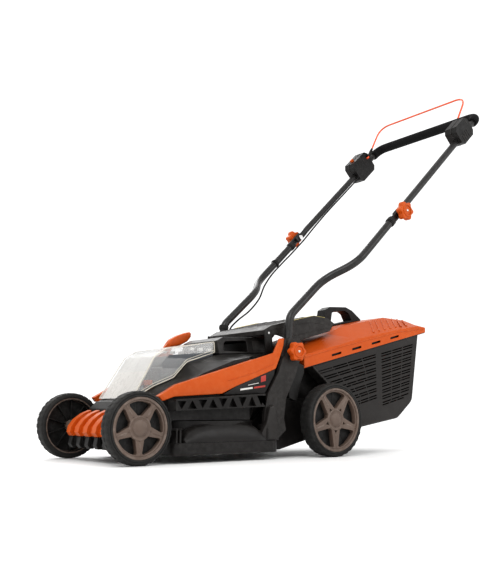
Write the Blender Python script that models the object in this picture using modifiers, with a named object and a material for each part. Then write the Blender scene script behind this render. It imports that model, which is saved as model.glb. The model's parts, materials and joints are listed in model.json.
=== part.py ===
"""Cordless rotary lawn mower with folding handles, rear grass catcher and height adjustment.

+X runs rearward to the handle, +Y to the machine's right side and +Z up. The ground is z = 0.
Everything is placed from the front axle (x = 0 on the "mower" empty), which is then moved so that
the whole machine is centred over the origin.
"""
import math

import bmesh
import bpy
from mathutils import Matrix, Vector

# Driving dimensions, in metres
GAP = 0.0003                  # between pieces that touch
FRONT_RADIUS = 0.0813         # wheels
REAR_RADIUS = 0.0946
FRONT_TYRE_WIDTH = 0.036
REAR_TYRE_WIDTH = 0.042
FRONT_HALF_TRACK = 0.190      # to the outer tyre face
REAR_HALF_TRACK = 0.213
TYRE_THICKNESS = 0.0125
WHEELBASE = 0.567
AXLE_RADIUS = 0.005
AXLE_PLAY = 0.0007            # between the axles and the deck's lugs
CRANK = 0.040                 # crank arm of both axles
CRANK_HALF_SWING = math.radians(28)
LINK_ARM = 0.040              # lug that drives the link rod
CUT_RADIUS = 0.168            # blade
BLADE_X = 0.232
DECK_HALF_WIDTH = 0.185
DECK_BOTTOM = 0.018
FLANGE_TOP = 0.046
DECK_TOP = 0.095
WALL = 0.004
BODY_HALF_WIDTH = 0.150       # upper body, behind the front wheels
SIDE_OUT = 0.168              # outer face of the coloured side strips
RAIL_OUT = 0.185
COVER_HALF_WIDTH = 0.084      # battery cover
COVER_WALL = 0.0025
PACK_SIZE = (0.142, 0.068, 0.072)
FLAP_HALF_WIDTH = 0.125
BRIDGE_HALF_WIDTH = 0.088     # carry handle
CATCHER_HALF_WIDTH = 0.160
CATCHER_WALL = 0.003
TUNNEL_HALF_WIDTH = 0.115
LOWER_TUBE_RADIUS = 0.011
UPPER_TUBE_RADIUS = 0.010
LOWER_HALF_SPREAD = 0.1475    # tube centres at the deck
UPPER_HALF_SPREAD = 0.218     # tube centres at the grip
LOWER_PIVOT = (0.456, 0.268)  # (x, z) of the handle's joints
MID_PIVOT = (0.820, 0.683)
GRIP_AT = (1.220, 1.068)
GRIP_RADIUS = 0.0155
BAIL_PIVOT = (1.1325, 1.0145)
BAIL_TOP = (1.200, 1.140)
BAIL_HALF_WIDTH = 0.190
BAIL_RADIUS = 0.003
BOLT_RADIUS = 0.003
LOWER_KNOB_RADIUS = 0.026
MID_KNOB_RADIUS = 0.028
CABLE_RADIUS = 0.0025
ROUND_STEPS = 32

# Derived places
CENTRE_X = (GRIP_AT[0] + GRIP_RADIUS - FRONT_RADIUS) / 2
FRONT_PIVOT = (CRANK * math.cos(CRANK_HALF_SWING), FRONT_RADIUS - CRANK * math.sin(CRANK_HALF_SWING))
REAR_PIVOT = (WHEELBASE + FRONT_PIVOT[0], REAR_RADIUS - CRANK * math.sin(CRANK_HALF_SWING))
BAR_HALF = 0.137              # straight middle of each cranked axle
LINK_Y = 0.1520
WEB_IN, WEB_OUT = 0.160, 0.1695
MID_DIRECTION = Vector((0.720, 0.694)).normalized()


# ---------------------------------------------------------------- scene and shape helpers

def clear_scene():
    for obj in list(bpy.data.objects):
        bpy.data.objects.remove(obj, do_unlink=True)


def collection(name):
    made = bpy.data.collections.new(name)
    bpy.context.scene.collection.children.link(made)
    return made


clear_scene()
PARTS = collection("rotary_mower")
MOWER = bpy.data.objects.new("mower", None)
PARTS.objects.link(MOWER)
MOWER.location = (-CENTRE_X, 0, 0)


def material(name, colour, roughness=0.5, metallic=0.0, alpha=1.0):
    made = bpy.data.materials.new(name)
    made.use_nodes = True
    shader = made.node_tree.nodes["Principled BSDF"]
    shader.inputs["Base Color"].default_value = (*colour, 1)
    shader.inputs["Roughness"].default_value = roughness
    shader.inputs["Metallic"].default_value = metallic
    shader.inputs["Alpha"].default_value = alpha
    made.diffuse_color = (*colour, alpha)
    return made


ORANGE = ("orange_plastic", (0.62, 0.10, 0.012), 0.38)
DARK = ("dark_plastic", (0.035, 0.030, 0.027), 0.5)
BLACK = ("black_plastic", (0.014, 0.013, 0.013), 0.45)
HUB = ("hub_plastic", (0.15, 0.105, 0.085), 0.5)
RUBBER = ("tyre_rubber", (0.012, 0.012, 0.012), 0.8)
CLEAR = ("clear_cover", (0.55, 0.52, 0.48), 0.12, 0.0, 0.35)
STEEL = ("steel", (0.60, 0.60, 0.60), 0.3, 1.0)
PAINT = ("black_paint", (0.012, 0.012, 0.013), 0.35)
FOAM = ("foam", (0.013, 0.013, 0.014), 0.9)
ORANGE_WIRE = ("orange_wire", (0.65, 0.10, 0.02), 0.35)
CABLE = ("cable_sheath", (0.010, 0.010, 0.010), 0.5)
PACK = ("battery_case", (0.10, 0.10, 0.10), 0.5)


def link(obj):
    PARTS.objects.link(obj)
    obj.parent = MOWER
    return obj


def node(obj, name, finish):
    """Name a finished piece and give it a material of its own."""
    obj.name = name
    obj.data.name = name
    obj.data.materials.clear()
    obj.data.materials.append(material(name + "_" + finish[0], *finish[1:]))
    return obj


def mesh_object(bm, name="piece"):
    data = bpy.data.meshes.new(name)
    bmesh.ops.recalc_face_normals(bm, faces=bm.faces)
    bm.to_mesh(data)
    bm.free()
    return link(bpy.data.objects.new(name, data))


def box(x, y, z):
    """A box between the given (low, high) pairs."""
    bm = bmesh.new()
    bmesh.ops.create_cube(bm, size=1)
    for v in bm.verts:
        v.co = [(low + high) / 2 + c * (high - low) for (low, high), c in zip((x, y, z), v.co)]
    return mesh_object(bm)


def baked(obj):
    """Replace a curve, or a mesh with modifiers, by its evaluated mesh with welded caps."""
    bpy.context.view_layer.update()
    graph = bpy.context.evaluated_depsgraph_get()
    data = bpy.data.meshes.new_from_object(obj.evaluated_get(graph))
    bm = bmesh.new()
    bm.from_mesh(data)
    bm.transform(MOWER.matrix_world.inverted() @ obj.matrix_world)
    bmesh.ops.remove_doubles(bm, verts=bm.verts, dist=0.00001)
    bmesh.ops.recalc_face_normals(bm, faces=bm.faces)
    bm.to_mesh(data)
    bm.free()
    bpy.data.objects.remove(obj, do_unlink=True)
    return link(bpy.data.objects.new("piece", data))


def extruded(outline, low, high, plane="XZ"):
    """A flat outline filled and extruded across its plane, from low to high."""
    data = bpy.data.curves.new("outline", "CURVE")
    data.dimensions = "2D"
    data.fill_mode = "BOTH"
    data.extrude = (high - low) / 2
    spline = data.splines.new("POLY")
    spline.points.add(len(outline) - 1)
    for point, (a, b) in zip(spline.points, outline):
        point.co = (a, b, 0, 1)
    spline.use_cyclic_u = True
    obj = link(bpy.data.objects.new("outline", data))
    middle = (low + high) / 2
    if plane == "XZ":
        obj.rotation_euler = (math.pi / 2, 0, 0)
        obj.location = (0, middle, 0)
    else:
        obj.location = (0, 0, middle)
    return baked(obj)


def cylinder(centre, radius, low, high, axis="Y", steps=16):
    """A cylinder about a row axis; centre holds its place on the other two axes."""
    bm = bmesh.new()
    bmesh.ops.create_cone(bm, cap_ends=True, segments=steps, radius1=radius, radius2=radius,
                          depth=high - low)
    middle = (low + high) / 2
    if axis == "Y":
        place = Matrix.Translation((centre[0], middle, centre[1])) @ Matrix.Rotation(math.pi / 2, 4, "X")
    else:
        place = Matrix.Translation((centre[0], centre[1], middle))
    bm.transform(place)
    return mesh_object(bm)


def turned(profile, centre, side=1, steps=ROUND_STEPS):
    """Turn (radius, depth) points about a Y axis through centre = (x, z); depth runs along side * Y."""
    data = bpy.data.meshes.new("profile")
    count = len(profile)
    data.from_pydata([(r, 0, -d) for r, d in profile], [(i, (i + 1) % count) for i in range(count)], [])
    obj = link(bpy.data.objects.new("turned", data))
    screw = obj.modifiers.new("turn", "SCREW")
    screw.steps = screw.render_steps = steps
    screw.use_merge_vertices = True
    screw.merge_threshold = 0.00001
    obj.location = (centre[0], 0, centre[1])
    obj.rotation_euler = (side * math.pi / 2, 0, 0)
    return baked(obj)


def rounded(points, radii, steps=5):
    """A path through points with its inner corners turned on arcs of about the given radii."""
    points = [Vector(p) for p in points]
    path = [points[0]]
    for before, corner, after, radius in zip(points, points[1:], points[2:], radii):
        back, ahead = (before - corner).normalized(), (after - corner).normalized()
        half = back.angle(ahead) / 2
        cut = min(radius / math.tan(half), 0.49 * (before - corner).length, 0.49 * (after - corner).length)
        start, end = corner + back * cut, corner + ahead * cut
        for i in range(steps + 1):
            t = i / steps
            path.append(start * (1 - t) ** 2 + corner * 2 * t * (1 - t) + end * t ** 2)
    path.append(points[-1])
    return path


def tube(points, radius, resolution=3):
    data = bpy.data.curves.new("tube", "CURVE")
    data.dimensions = "3D"
    data.bevel_depth = radius
    data.bevel_resolution = resolution
    data.use_fill_caps = True
    spline = data.splines.new("POLY")
    spline.points.add(len(points) - 1)
    for point, place in zip(spline.points, points):
        point.co = (*place, 1)
    return baked(link(bpy.data.objects.new("tube", data)))


def smooth_path(points, per_span=4):
    """Points read from a smooth curve (Catmull-Rom) through the given ones."""
    points = [Vector(p) for p in points]
    ends = [2 * points[0] - points[1]] + points + [2 * points[-1] - points[-2]]
    path = []
    for a, b, c, d in zip(ends, ends[1:], ends[2:], ends[3:]):
        for i in range(per_span):
            t = i / per_span
            path.append(0.5 * (2 * b + (c - a) * t + (2 * a - 5 * b + 4 * c - d) * t * t
                               + (3 * b - a - 3 * c + d) * t ** 3))
    return path + [points[-1]]


def loft(loops):
    """Skin a row of closed point loops, all with the same number of points, and cap both ends."""
    bm = bmesh.new()
    rings = [[bm.verts.new(p) for p in loop] for loop in loops]
    count = len(loops[0])
    for one, two in zip(rings, rings[1:]):
        for i in range(count):
            j = (i + 1) % count
            bm.faces.new((one[i], one[j], two[j], two[i]))
    bm.faces.new(rings[0])
    bm.faces.new(rings[-1][::-1])
    bmesh.ops.triangulate(bm, faces=bm.faces)
    return mesh_object(bm)


def boolean(base, others, operation):
    for other in others:
        modifier = base.modifiers.new("cut", "BOOLEAN")
        modifier.operation = operation
        modifier.solver = "EXACT"
        modifier.object = other
    made = baked(base)
    for other in others:
        bpy.data.objects.remove(other, do_unlink=True)
    return made


def cut(base, *others):
    return boolean(base, others, "DIFFERENCE")


def join(base, *others):
    return boolean(base, others, "UNION")


def smooth(obj, angle=35):
    obj.data.shade_smooth()
    obj.data.set_sharp_from_angle(angle=math.radians(angle))
    return obj


def mirrored(y_low, y_high, side):
    """The (low, high) pair on the given side, +1 or -1, of the middle plane."""
    return (y_low, y_high) if side > 0 else (-y_high, -y_low)


SIDES = (("left", -1), ("right", 1))


def line_z(x, start, end):
    return start[1] + (end[1] - start[1]) * (x - start[0]) / (end[0] - start[0])


# ---------------------------------------------------------------- deck and body

TUNNEL_ROOF = ((0.330, DECK_TOP), (0.520, 0.240))
TUNNEL_EXIT = (0.628, 0.152)
TUNNEL_FLOOR = (0.440, DECK_BOTTOM)
# upper body: x, bottom, half-width at the strip, strip top, half-width on top, top
BODY_STATIONS = (
    (0.030, 0.104, 0.098, 0.122, 0.076, 0.140),
    (0.062, 0.102, 0.118, 0.142, 0.088, 0.157),
    (0.095, 0.0965, BODY_HALF_WIDTH, 0.168, 0.088, 0.173),
    (0.150, 0.0965, BODY_HALF_WIDTH, 0.187, 0.088, 0.194),
    (0.190, 0.0965, BODY_HALF_WIDTH, 0.207, 0.088, 0.233),
    (0.279, 0.0965, BODY_HALF_WIDTH, 0.240, 0.100, 0.2580),
    (0.329, 0.0965, BODY_HALF_WIDTH, 0.250, 0.106, 0.2610),
    (0.350, 0.1125, 0.134, 0.254, 0.108, 0.2622),
    (0.462, 0.198, 0.130, 0.264, 0.112, 0.2690),
)
BAY_X = (0.116, 0.268)
BAY_FLOOR = 0.150
KEY_X, KEY_Y = (0.080, 0.104), (-0.060, -0.036)
KEY_STEM = 0.004
FLAP_PIN = (0.405, 0.317)
QUADRANT_Y = (0.112, 0.120)
LEVER_Y = (0.1245, 0.1325)
LEVER_PIVOT = (0.236, 0.268)


def rounded_rectangle(x_low, x_high, half_width, radius, steps=4):
    outline = []
    corners = ((x_high, half_width, 0), (x_low, half_width, 1), (x_low, -half_width, 2),
               (x_high, -half_width, 3))
    for x, y, quarter in corners:
        cx = x - radius if x == x_high else x + radius
        cy = y - radius if y > 0 else y + radius
        for i in range(steps + 1):
            a = (quarter + i / steps) * math.pi / 2
            outline.append((cx + radius * math.cos(a), cy + radius * math.sin(a)))
    return outline


def deck_housing():
    """Cutting deck: flanged skirt, round blade chamber, rising rear tunnel and axle lugs."""
    flange = extruded(rounded_rectangle(0.088, 0.402, DECK_HALF_WIDTH, 0.030), DECK_BOTTOM, FLANGE_TOP, "XY")
    chamber = cylinder((BLADE_X, 0), CUT_RADIUS + 0.010, DECK_BOTTOM, DECK_TOP, "Z", 36)
    tunnel = extruded(((0.330, DECK_BOTTOM), *TUNNEL_ROOF, TUNNEL_EXIT, TUNNEL_FLOOR),
                      -TUNNEL_HALF_WIDTH, TUNNEL_HALF_WIDTH)
    lugs = []
    for side in (-1, 1):
        low, high = mirrored(0.119, 0.131, side)
        front = ((0.024, 0.050), (0.046, 0.050), (0.120, 0.030), (0.120, 0.085), (0.024, 0.080))
        rear = ((0.350, 0.020), (0.440, 0.020), (0.618, 0.062), (0.618, 0.090), (0.560, 0.150),
                (0.420, 0.150), (0.350, 0.090))
        lugs += [extruded(front, low, high), extruded(rear, low, high)]
        spread = mirrored(0.110, 0.122, side)
        lugs.append(box((0.420, 0.560), spread, (0.090, 0.148)))
    solid = join(flange, chamber, tunnel, *lugs)
    inner_flange = extruded(rounded_rectangle(0.088 + WALL, 0.402 - WALL, DECK_HALF_WIDTH - WALL, 0.026),
                            -0.01, FLANGE_TOP - WALL, "XY")
    inner_chamber = cylinder((BLADE_X, 0), CUT_RADIUS + 0.010 - WALL, -0.01, DECK_TOP - WALL, "Z", 36)
    roof_a, roof_b = TUNNEL_ROOF
    inside = ((0.300, DECK_BOTTOM - 0.02), (0.300, DECK_TOP - WALL), (roof_a[0], roof_a[1] - WALL),
              (roof_b[0] + 0.03, roof_b[1] - WALL + 0.023), (TUNNEL_EXIT[0] + 0.05, TUNNEL_EXIT[1] + 0.036),
              (TUNNEL_FLOOR[0] - 0.006, DECK_BOTTOM), (TUNNEL_FLOOR[0] - 0.006, -0.01))
    inner_tunnel = extruded(inside, -TUNNEL_HALF_WIDTH + WALL, TUNNEL_HALF_WIDTH - WALL)
    shaft_hole = cylinder((BLADE_X, 0), 0.009, 0.05, 0.12, "Z", 16)
    bores = [cylinder(at, AXLE_RADIUS + AXLE_PLAY, -0.14, 0.14, steps=16) for at in (FRONT_PIVOT, REAR_PIVOT)]
    made = cut(solid, inner_flange, inner_chamber, inner_tunnel, shaft_hole, *bores)
    node(smooth(made), "deck_housing", DARK)


def body_loop(x, bottom, half, shoulder, half_top, top):
    right = [(x, half, bottom), (x, half, shoulder), (x, half_top, top)]
    left = [(x, -y, z) for x, y, z in reversed(right)]
    return right + left


def body_shell():
    """Upper body: a dark moulding with the battery bay, the motor pocket and the flap's hinge ears."""
    shell = loft([body_loop(*station) for station in BODY_STATIONS])
    ears = [box((0.396, 0.418), mirrored(0.1265, 0.1315, side), (0.245, 0.326)) for side in (-1, 1)]
    shell = join(shell, *ears)
    bay = box(BAY_X, (-0.076, 0.076), (BAY_FLOOR, 0.40))
    motor_pocket = cylinder((BLADE_X, 0), 0.0445, 0.05, 0.1435, "Z", 24)
    key_x, key_y = sum(KEY_X) / 2, sum(KEY_Y) / 2
    reach = KEY_STEM + GAP
    key_socket = box((key_x - reach, key_x + reach), (key_y - reach, key_y + reach), (0.145, 0.30))
    pin_bore = cylinder(FLAP_PIN, 0.003 + GAP, -0.14, 0.14, steps=12)
    bolt_rooms = [cylinder(LOWER_PIVOT, 0.008, *mirrored(0.1255, 0.14, side), steps=12) for side in (-1, 1)]
    made = cut(shell, bay, motor_pocket, key_socket, pin_bore, *bolt_rooms)
    node(smooth(made, 20), "body_shell", DARK)


STRIP = ((0.066, 0.1400), (0.099, 0.1500), (0.179, 0.1540), (0.232, 0.1580), (0.273, 0.1760),
         (0.316, 0.1930), (0.400, 0.2230), (0.436, 0.301), (0.414, 0.301), (0.394, 0.2630),
         (0.285, 0.2310), (0.207, 0.2095), (0.140, 0.1890), (0.104, 0.1780), (0.080, 0.1640), (0.056, 0.1515))


def side_strip(name, side):
    """Coloured side panel; its rear half leaves a slot for the folded handle tube."""
    panel = extruded(STRIP, *mirrored(BODY_HALF_WIDTH + GAP, SIDE_OUT, side))
    slot = box((0.332, 0.50), mirrored(0.120, 0.1602, side), (0.10, 0.40))
    node(cut(panel, slot), f"side_strip_{name}", ORANGE)


RAIL_X = (0.092, 0.352)
RAIL_TOP = (0.1440, 0.1600)
RAIL_BOTTOM = (0.118, 0.128)


def side_rail(name, side):
    """Side rail with a row of triangular pockets between its chords."""
    outline = ((RAIL_X[0], RAIL_BOTTOM[0]), (RAIL_X[1], RAIL_BOTTOM[1]), (RAIL_X[1], RAIL_TOP[1]),
               (RAIL_X[0], RAIL_TOP[0]))
    rail = extruded(outline, *mirrored(BODY_HALF_WIDTH + GAP, RAIL_OUT, side))
    pockets = []
    count = 9
    pitch = (RAIL_X[1] - RAIL_X[0]) / count
    for i in range(count):
        x = RAIL_X[0] + pitch * i
        low = line_z(x, (RAIL_X[0], RAIL_BOTTOM[0]), (RAIL_X[1], RAIL_BOTTOM[1])) + 0.004
        high = line_z(x, (RAIL_X[0], RAIL_TOP[0]), (RAIL_X[1], RAIL_TOP[1])) - 0.004
        near, far, middle = x + 0.003, x + pitch - 0.001, x + pitch / 2 + 0.001
        tip, base = (high, low) if i % 2 else (low, high)
        pockets.append(extruded(((near, base), (far, base), (middle, tip)),
                                *mirrored(RAIL_OUT - 0.012, RAIL_OUT + 0.01, side)))
    node(cut(rail, *pockets), f"side_rail_{name}", BLACK)


def side_web(name, side):
    """Curved column from the deck's flange up to the handle bracket, with the bolt's hole."""
    front = ((0.358, FLANGE_TOP + GAP), (0.360, 0.110), (0.372, 0.160), (0.4065, 0.2135), (0.4425, 0.302))
    rear = ((0.480, 0.302), (0.483, 0.255), (0.462, 0.205), (0.432, 0.150), (0.424, 0.100),
            (0.430, 0.070), (0.400, FLANGE_TOP + GAP))
    web = extruded(front + rear, *mirrored(WEB_IN, WEB_OUT, side))
    foot = box((0.360, 0.398), mirrored(0.140, WEB_IN + 0.004, side), (FLANGE_TOP + GAP, 0.086))
    hole = cylinder(LOWER_PIVOT, BOLT_RADIUS + GAP, *mirrored(0.14, 0.18, side), steps=12)
    ring = cut(join(web, foot), hole)
    node(ring, f"side_web_{name}", BLACK)


def front_end():
    """Ribbed bumper, the comb under it and the dark nose that carries both on the body."""
    outer = ((-0.034, 0.059), (-0.041, 0.068), (-0.038, 0.082), (-0.026, 0.098), (-0.006, 0.112),
             (0.014, 0.120), (0.014, 0.1085), (-0.004, 0.099), (-0.0175, 0.085), (-0.0215, 0.059))
    inner = ((-0.028, 0.0595), (-0.032, 0.068), (-0.029, 0.080), (-0.019, 0.092), (-0.002, 0.104),
             (0.0135, 0.112), (0.0135, 0.106), (-0.003, 0.096), (-0.016, 0.083), (-0.020, 0.0595))
    ribs = [extruded(outer, y - 0.010, y + 0.010) for y in (-0.088, -0.044, 0, 0.044, 0.088)]
    bumper = join(extruded(inner, -0.104, 0.104), *ribs)
    node(smooth(bumper), "front_bumper", ORANGE)
    back = ((-0.026, 0.034), (-0.029, 0.0587), (-0.018, 0.0587), (-0.018, 0.034))
    tooth = ((-0.031, 0.031), (-0.037, 0.040), (-0.033, 0.0580), (-0.020, 0.0580), (-0.020, 0.031))
    teeth = [extruded(tooth, y - 0.009, y + 0.009) for y in (-0.088, -0.044, 0, 0.044, 0.088)]
    node(join(extruded(back, -0.100, 0.100), *teeth), "front_comb", BLACK)
    nose = loft([[(x, w, low), (x, w, mid), (x, t, top), (x, -t, top), (x, -w, mid), (x, -w, low)]
                 for x, w, low, mid, t, top in ((0.0145, 0.100, 0.096, 0.116, 0.094, 0.1225),
                                                (0.0296, 0.104, 0.096, 0.124, 0.084, 0.142))])
    node(nose, "nose", BLACK)
    keel = extruded(((-0.0175, 0.040), (0.0142, 0.060), (0.0142, 0.095), (-0.0125, 0.0795)), -0.020, 0.020)
    node(keel, "nose_keel", BLACK)


def carry_handle():
    """Raised bridge across the rear of the body, with a window right through it for the fingers."""
    side = ((0.2795, 0.2600), (0.2795, 0.2945), (0.3000, 0.3045), (0.3700, 0.3085), (0.4380, 0.3085),
            (0.4600, 0.2920), (0.4600, 0.2710))
    window = ((0.2970, 0.2690), (0.3010, 0.2880), (0.3070, 0.2930), (0.3660, 0.2975), (0.3740, 0.2950),
              (0.3740, 0.2690))
    bridge = extruded(side, -BRIDGE_HALF_WIDTH, BRIDGE_HALF_WIDTH)
    hollow = extruded(((0.3900, 0.20), (0.3900, 0.3030), (0.4300, 0.3040), (0.4520, 0.2880), (0.4520, 0.20)),
                      0.004 - BRIDGE_HALF_WIDTH, BRIDGE_HALF_WIDTH - 0.004)
    made = cut(bridge, hollow, extruded(window, -0.2, 0.2))
    for v in made.data.vertices:
        v.co.y *= 1 - 0.16 * (v.co.z - 0.26) / 0.05
    node(made, "carry_handle", BLACK)


def battery_packs():
    for name, side in SIDES:
        y = mirrored(0.0035, 0.0035 + PACK_SIZE[1], side)
        x = (BAY_X[0] + 0.004, BAY_X[0] + 0.004 + PACK_SIZE[0])
        pack = box(x, y, (BAY_FLOOR + GAP, BAY_FLOOR + GAP + PACK_SIZE[2]))
        grip = box((x[1] - 0.034, x[1] - 0.006), (y[0] + 0.012, y[1] - 0.012),
                   (BAY_FLOOR + 0.05, BAY_FLOOR + PACK_SIZE[2] + 0.008))
        node(join(pack, grip), f"battery_{name}", PACK)


def safety_key():
    x, y = sum(KEY_X) / 2, sum(KEY_Y) / 2
    stem = box((x - KEY_STEM, x + KEY_STEM), (y - KEY_STEM, y + KEY_STEM), (0.1453, 0.182))
    head = box(KEY_X, KEY_Y, (0.1785, 0.1915))
    node(join(stem, head), "safety_key", ORANGE)


def motor_and_blade():
    base = DECK_TOP + GAP
    case = cylinder((BLADE_X, 0), 0.042, base, base + 0.0475, "Z", 24)
    bore = cylinder((BLADE_X, 0), 0.006 + GAP, 0.05, 0.128, "Z", 16)
    node(smooth(cut(case, bore)), "motor", BLACK)
    node(smooth(cylinder((BLADE_X, 0), 0.006, 0.0405, 0.1270, "Z", 16)), "blade_shaft", STEEL)
    node(smooth(join(cylinder((BLADE_X, 0), 0.026, 0.0372, 0.0402, "Z", 20),
                     cylinder((BLADE_X, 0), 0.020, 0.0350, 0.0395, "Z", 20))), "blade_hub", BLACK)
    outline = []
    for turn in (0, math.pi):
        for along, across in ((0.020, -0.024), (0.120, -0.024), (0.163, -0.020), (0.166, -0.004),
                              (0.160, 0.018), (0.120, 0.021), (0.020, 0.024)):
            outline.append((BLADE_X + along * math.cos(turn) - across * math.sin(turn),
                            along * math.sin(turn) + across * math.cos(turn)))
    node(extruded(outline, 0.0315, 0.0347, "XY"), "blade", STEEL)
    node(smooth(cylinder((BLADE_X, 0), 0.011, 0.0240, 0.0312, "Z", 6)), "blade_bolt", STEEL)


# ---------------------------------------------------------------- running gear

def wheel(name, centre, radius, half_track, width, side):
    rim = radius - TYRE_THICKNESS
    inner_y, outer_y = half_track - width, half_track
    tread = ((radius - 0.004, inner_y), (radius, inner_y + 0.006), (radius, outer_y - 0.006),
             (radius - 0.004, outer_y), (rim, outer_y), (rim, inner_y))
    tyre = turned([(r, d) for r, d in tread], centre, side)
    node(smooth(tyre), f"tyre_{name}", RUBBER)
    rim -= GAP
    face = outer_y - 0.004
    bore = AXLE_RADIUS + GAP
    profile = ((bore, inner_y + 0.004), (bore, outer_y - 0.0015), (0.019, outer_y - 0.0015),
               (0.021, face - 0.004), (rim - 0.007, face - 0.004), (rim - 0.006, face), (rim, face),
               (rim, inner_y + 0.003),
               (rim - 0.005, inner_y + 0.003), (rim - 0.006, face - 0.017), (0.018, face - 0.017),
               (0.016, inner_y + 0.004))
    hub = turned(profile, centre, side)
    outer, inner = rim - 0.009, 0.027
    windows = []
    for i in range(5):
        mid = 2 * math.pi * i / 5 + math.pi / 2
        shape = [(outer, mid - 0.48), (outer, mid - 0.16), (outer, mid + 0.16), (outer, mid + 0.48),
                 (inner, mid + 0.10), (inner, mid - 0.10)]
        window = [(centre[0] + r * math.cos(a), centre[1] + r * math.sin(a)) for r, a in shape]
        windows.append(extruded(window, *mirrored(face - 0.0145, outer_y + 0.01, side)))
    node(smooth(cut(hub, *windows)), f"hub_{name}", HUB)


def cranked_axle(name, pivot, wheel_centre, half_track, arm_y):
    """Axle whose middle turns in the deck and whose ends, held by crank arms, carry the wheels."""
    ends = half_track - 0.006
    half = [(pivot[0], BAR_HALF - 0.002, pivot[1]), (wheel_centre[0], arm_y, wheel_centre[1]),
            (wheel_centre[0], ends, wheel_centre[1])]
    route = [(x, -y, z) for x, y, z in reversed(half)] + half
    bar = tube(rounded(route, (0.009,) * 4, 4), AXLE_RADIUS, 2)
    lug_y = (BAR_HALF - 0.010, BAR_HALF - 0.004)
    angle = CRANK_HALF_SWING
    pin = (pivot[0] + LINK_ARM * math.sin(angle), pivot[1] + LINK_ARM * math.cos(angle))
    lug = extruded(((pivot[0] - 0.006, pivot[1]), (pivot[0] + 0.006, pivot[1] - 0.003),
                    (pin[0] + 0.006, pin[1] - 0.002), (pin[0], pin[1] + 0.006), (pin[0] - 0.006, pin[1])),
                   0.1332, 0.1392)
    stud = cylinder(pin, 0.003, 0.1370, LINK_Y + 0.0025, steps=10)
    node(smooth(join(bar, lug, stud)), name, STEEL)
    return pin


def running_gear():
    front, rear = (0.0, FRONT_RADIUS), (WHEELBASE, REAR_RADIUS)
    for name, side in SIDES:
        wheel(f"front_{name}", front, FRONT_RADIUS, FRONT_HALF_TRACK, FRONT_TYRE_WIDTH, side)
        wheel(f"rear_{name}", rear, REAR_RADIUS, REAR_HALF_TRACK, REAR_TYRE_WIDTH, side)
    front_pin = cranked_axle("front_axle", FRONT_PIVOT, front, FRONT_HALF_TRACK, 0.1475)
    rear_pin = cranked_axle("rear_axle", REAR_PIVOT, rear, REAR_HALF_TRACK, 0.1600)
    rise = (rear_pin[1] - front_pin[1]) / (rear_pin[0] - front_pin[0])
    end = 0.007
    outline = ((front_pin[0] - end, front_pin[1] - 0.004 - rise * end),
               (rear_pin[0] + end, rear_pin[1] - 0.004 + rise * end),
               (rear_pin[0] + end, rear_pin[1] + 0.004 + rise * end),
               (front_pin[0] - end, front_pin[1] + 0.004 - rise * end))
    rod = extruded(outline, LINK_Y - 0.0013, LINK_Y + 0.0013)
    holes = [cylinder(pin, 0.003 + GAP / 2, 0.14, 0.17, steps=10) for pin in (front_pin, rear_pin)]
    node(cut(rod, *holes), "link_rod", STEEL)


def height_lever():
    """Height lever with its thumb pad, and the toothed quadrant that it clicks along."""
    teeth = []
    for i in range(5):
        a = math.radians(62 - 16 * i)
        b = math.radians(62 - 16 * (i + 0.5))
        teeth += [(LEVER_PIVOT[0] + 0.034 * math.cos(a), LEVER_PIVOT[1] + 0.034 * math.sin(a)),
                  (LEVER_PIVOT[0] + 0.029 * math.cos(b), LEVER_PIVOT[1] + 0.029 * math.sin(b))]
    outline = [(0.226, 0.2520), (0.226, 0.274), (0.236, 0.282)] + teeth + [(0.264, 0.2520)]
    quadrant = extruded(outline, *QUADRANT_Y)
    foot = box((0.222, 0.268), (0.106, 0.1265), (0.2400, 0.2545))
    pin = cylinder(LEVER_PIVOT, 0.004, QUADRANT_Y[0] + 0.002, LEVER_Y[1] - 0.001, steps=12)
    made = join(quadrant, foot, pin)
    keep_out = [loft([[(x, y, z) for y, z in ((0.20, 0.10), (0.20, side_z), (0.088, top_z), (0.02, top_z),
                                              (0.02, 0.10))]
                      for x, side_z, top_z in ((0.19, 0.2072, 0.2343), (0.2786, 0.2402, 0.2625))])]
    node(cut(made, *keep_out), "lever_quadrant", ORANGE)
    x, z = LEVER_PIVOT
    arm = ((x - 0.008, z - 0.007), (x + 0.007, z - 0.007), (x + 0.010, z + 0.010), (x + 0.020, z + 0.034),
           (x + 0.052, z + 0.050), (x + 0.090, z + 0.062), (x + 0.096, z + 0.069), (x + 0.086, z + 0.074),
           (x + 0.040, z + 0.066), (x + 0.006, z + 0.050), (x - 0.008, z + 0.022))
    lever = extruded(arm, *LEVER_Y)
    pad = extruded(((x + 0.036, z + 0.046), (x + 0.088, z + 0.062), (x + 0.094, z + 0.069),
                    (x + 0.085, z + 0.074), (x + 0.036, z + 0.064)), LEVER_Y[0] - 0.014, LEVER_Y[1] + 0.002)
    hole = cylinder(LEVER_PIVOT, 0.004 + GAP, 0.10, 0.14, steps=12)
    node(cut(join(lever, pad), hole), "height_lever", ORANGE)


# ---------------------------------------------------------------- battery cover and rear flap

COVER_TOP = ((0.036, 0.1470), (0.100, 0.250), (0.132, 0.268), (0.2775, 0.2920))
COVER_HEM = ((0.2775, 0.2640), (0.190, 0.2360), (0.150, 0.1970), (0.095, 0.1760), (0.062, 0.1600),
             (0.040, 0.1480))


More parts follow.
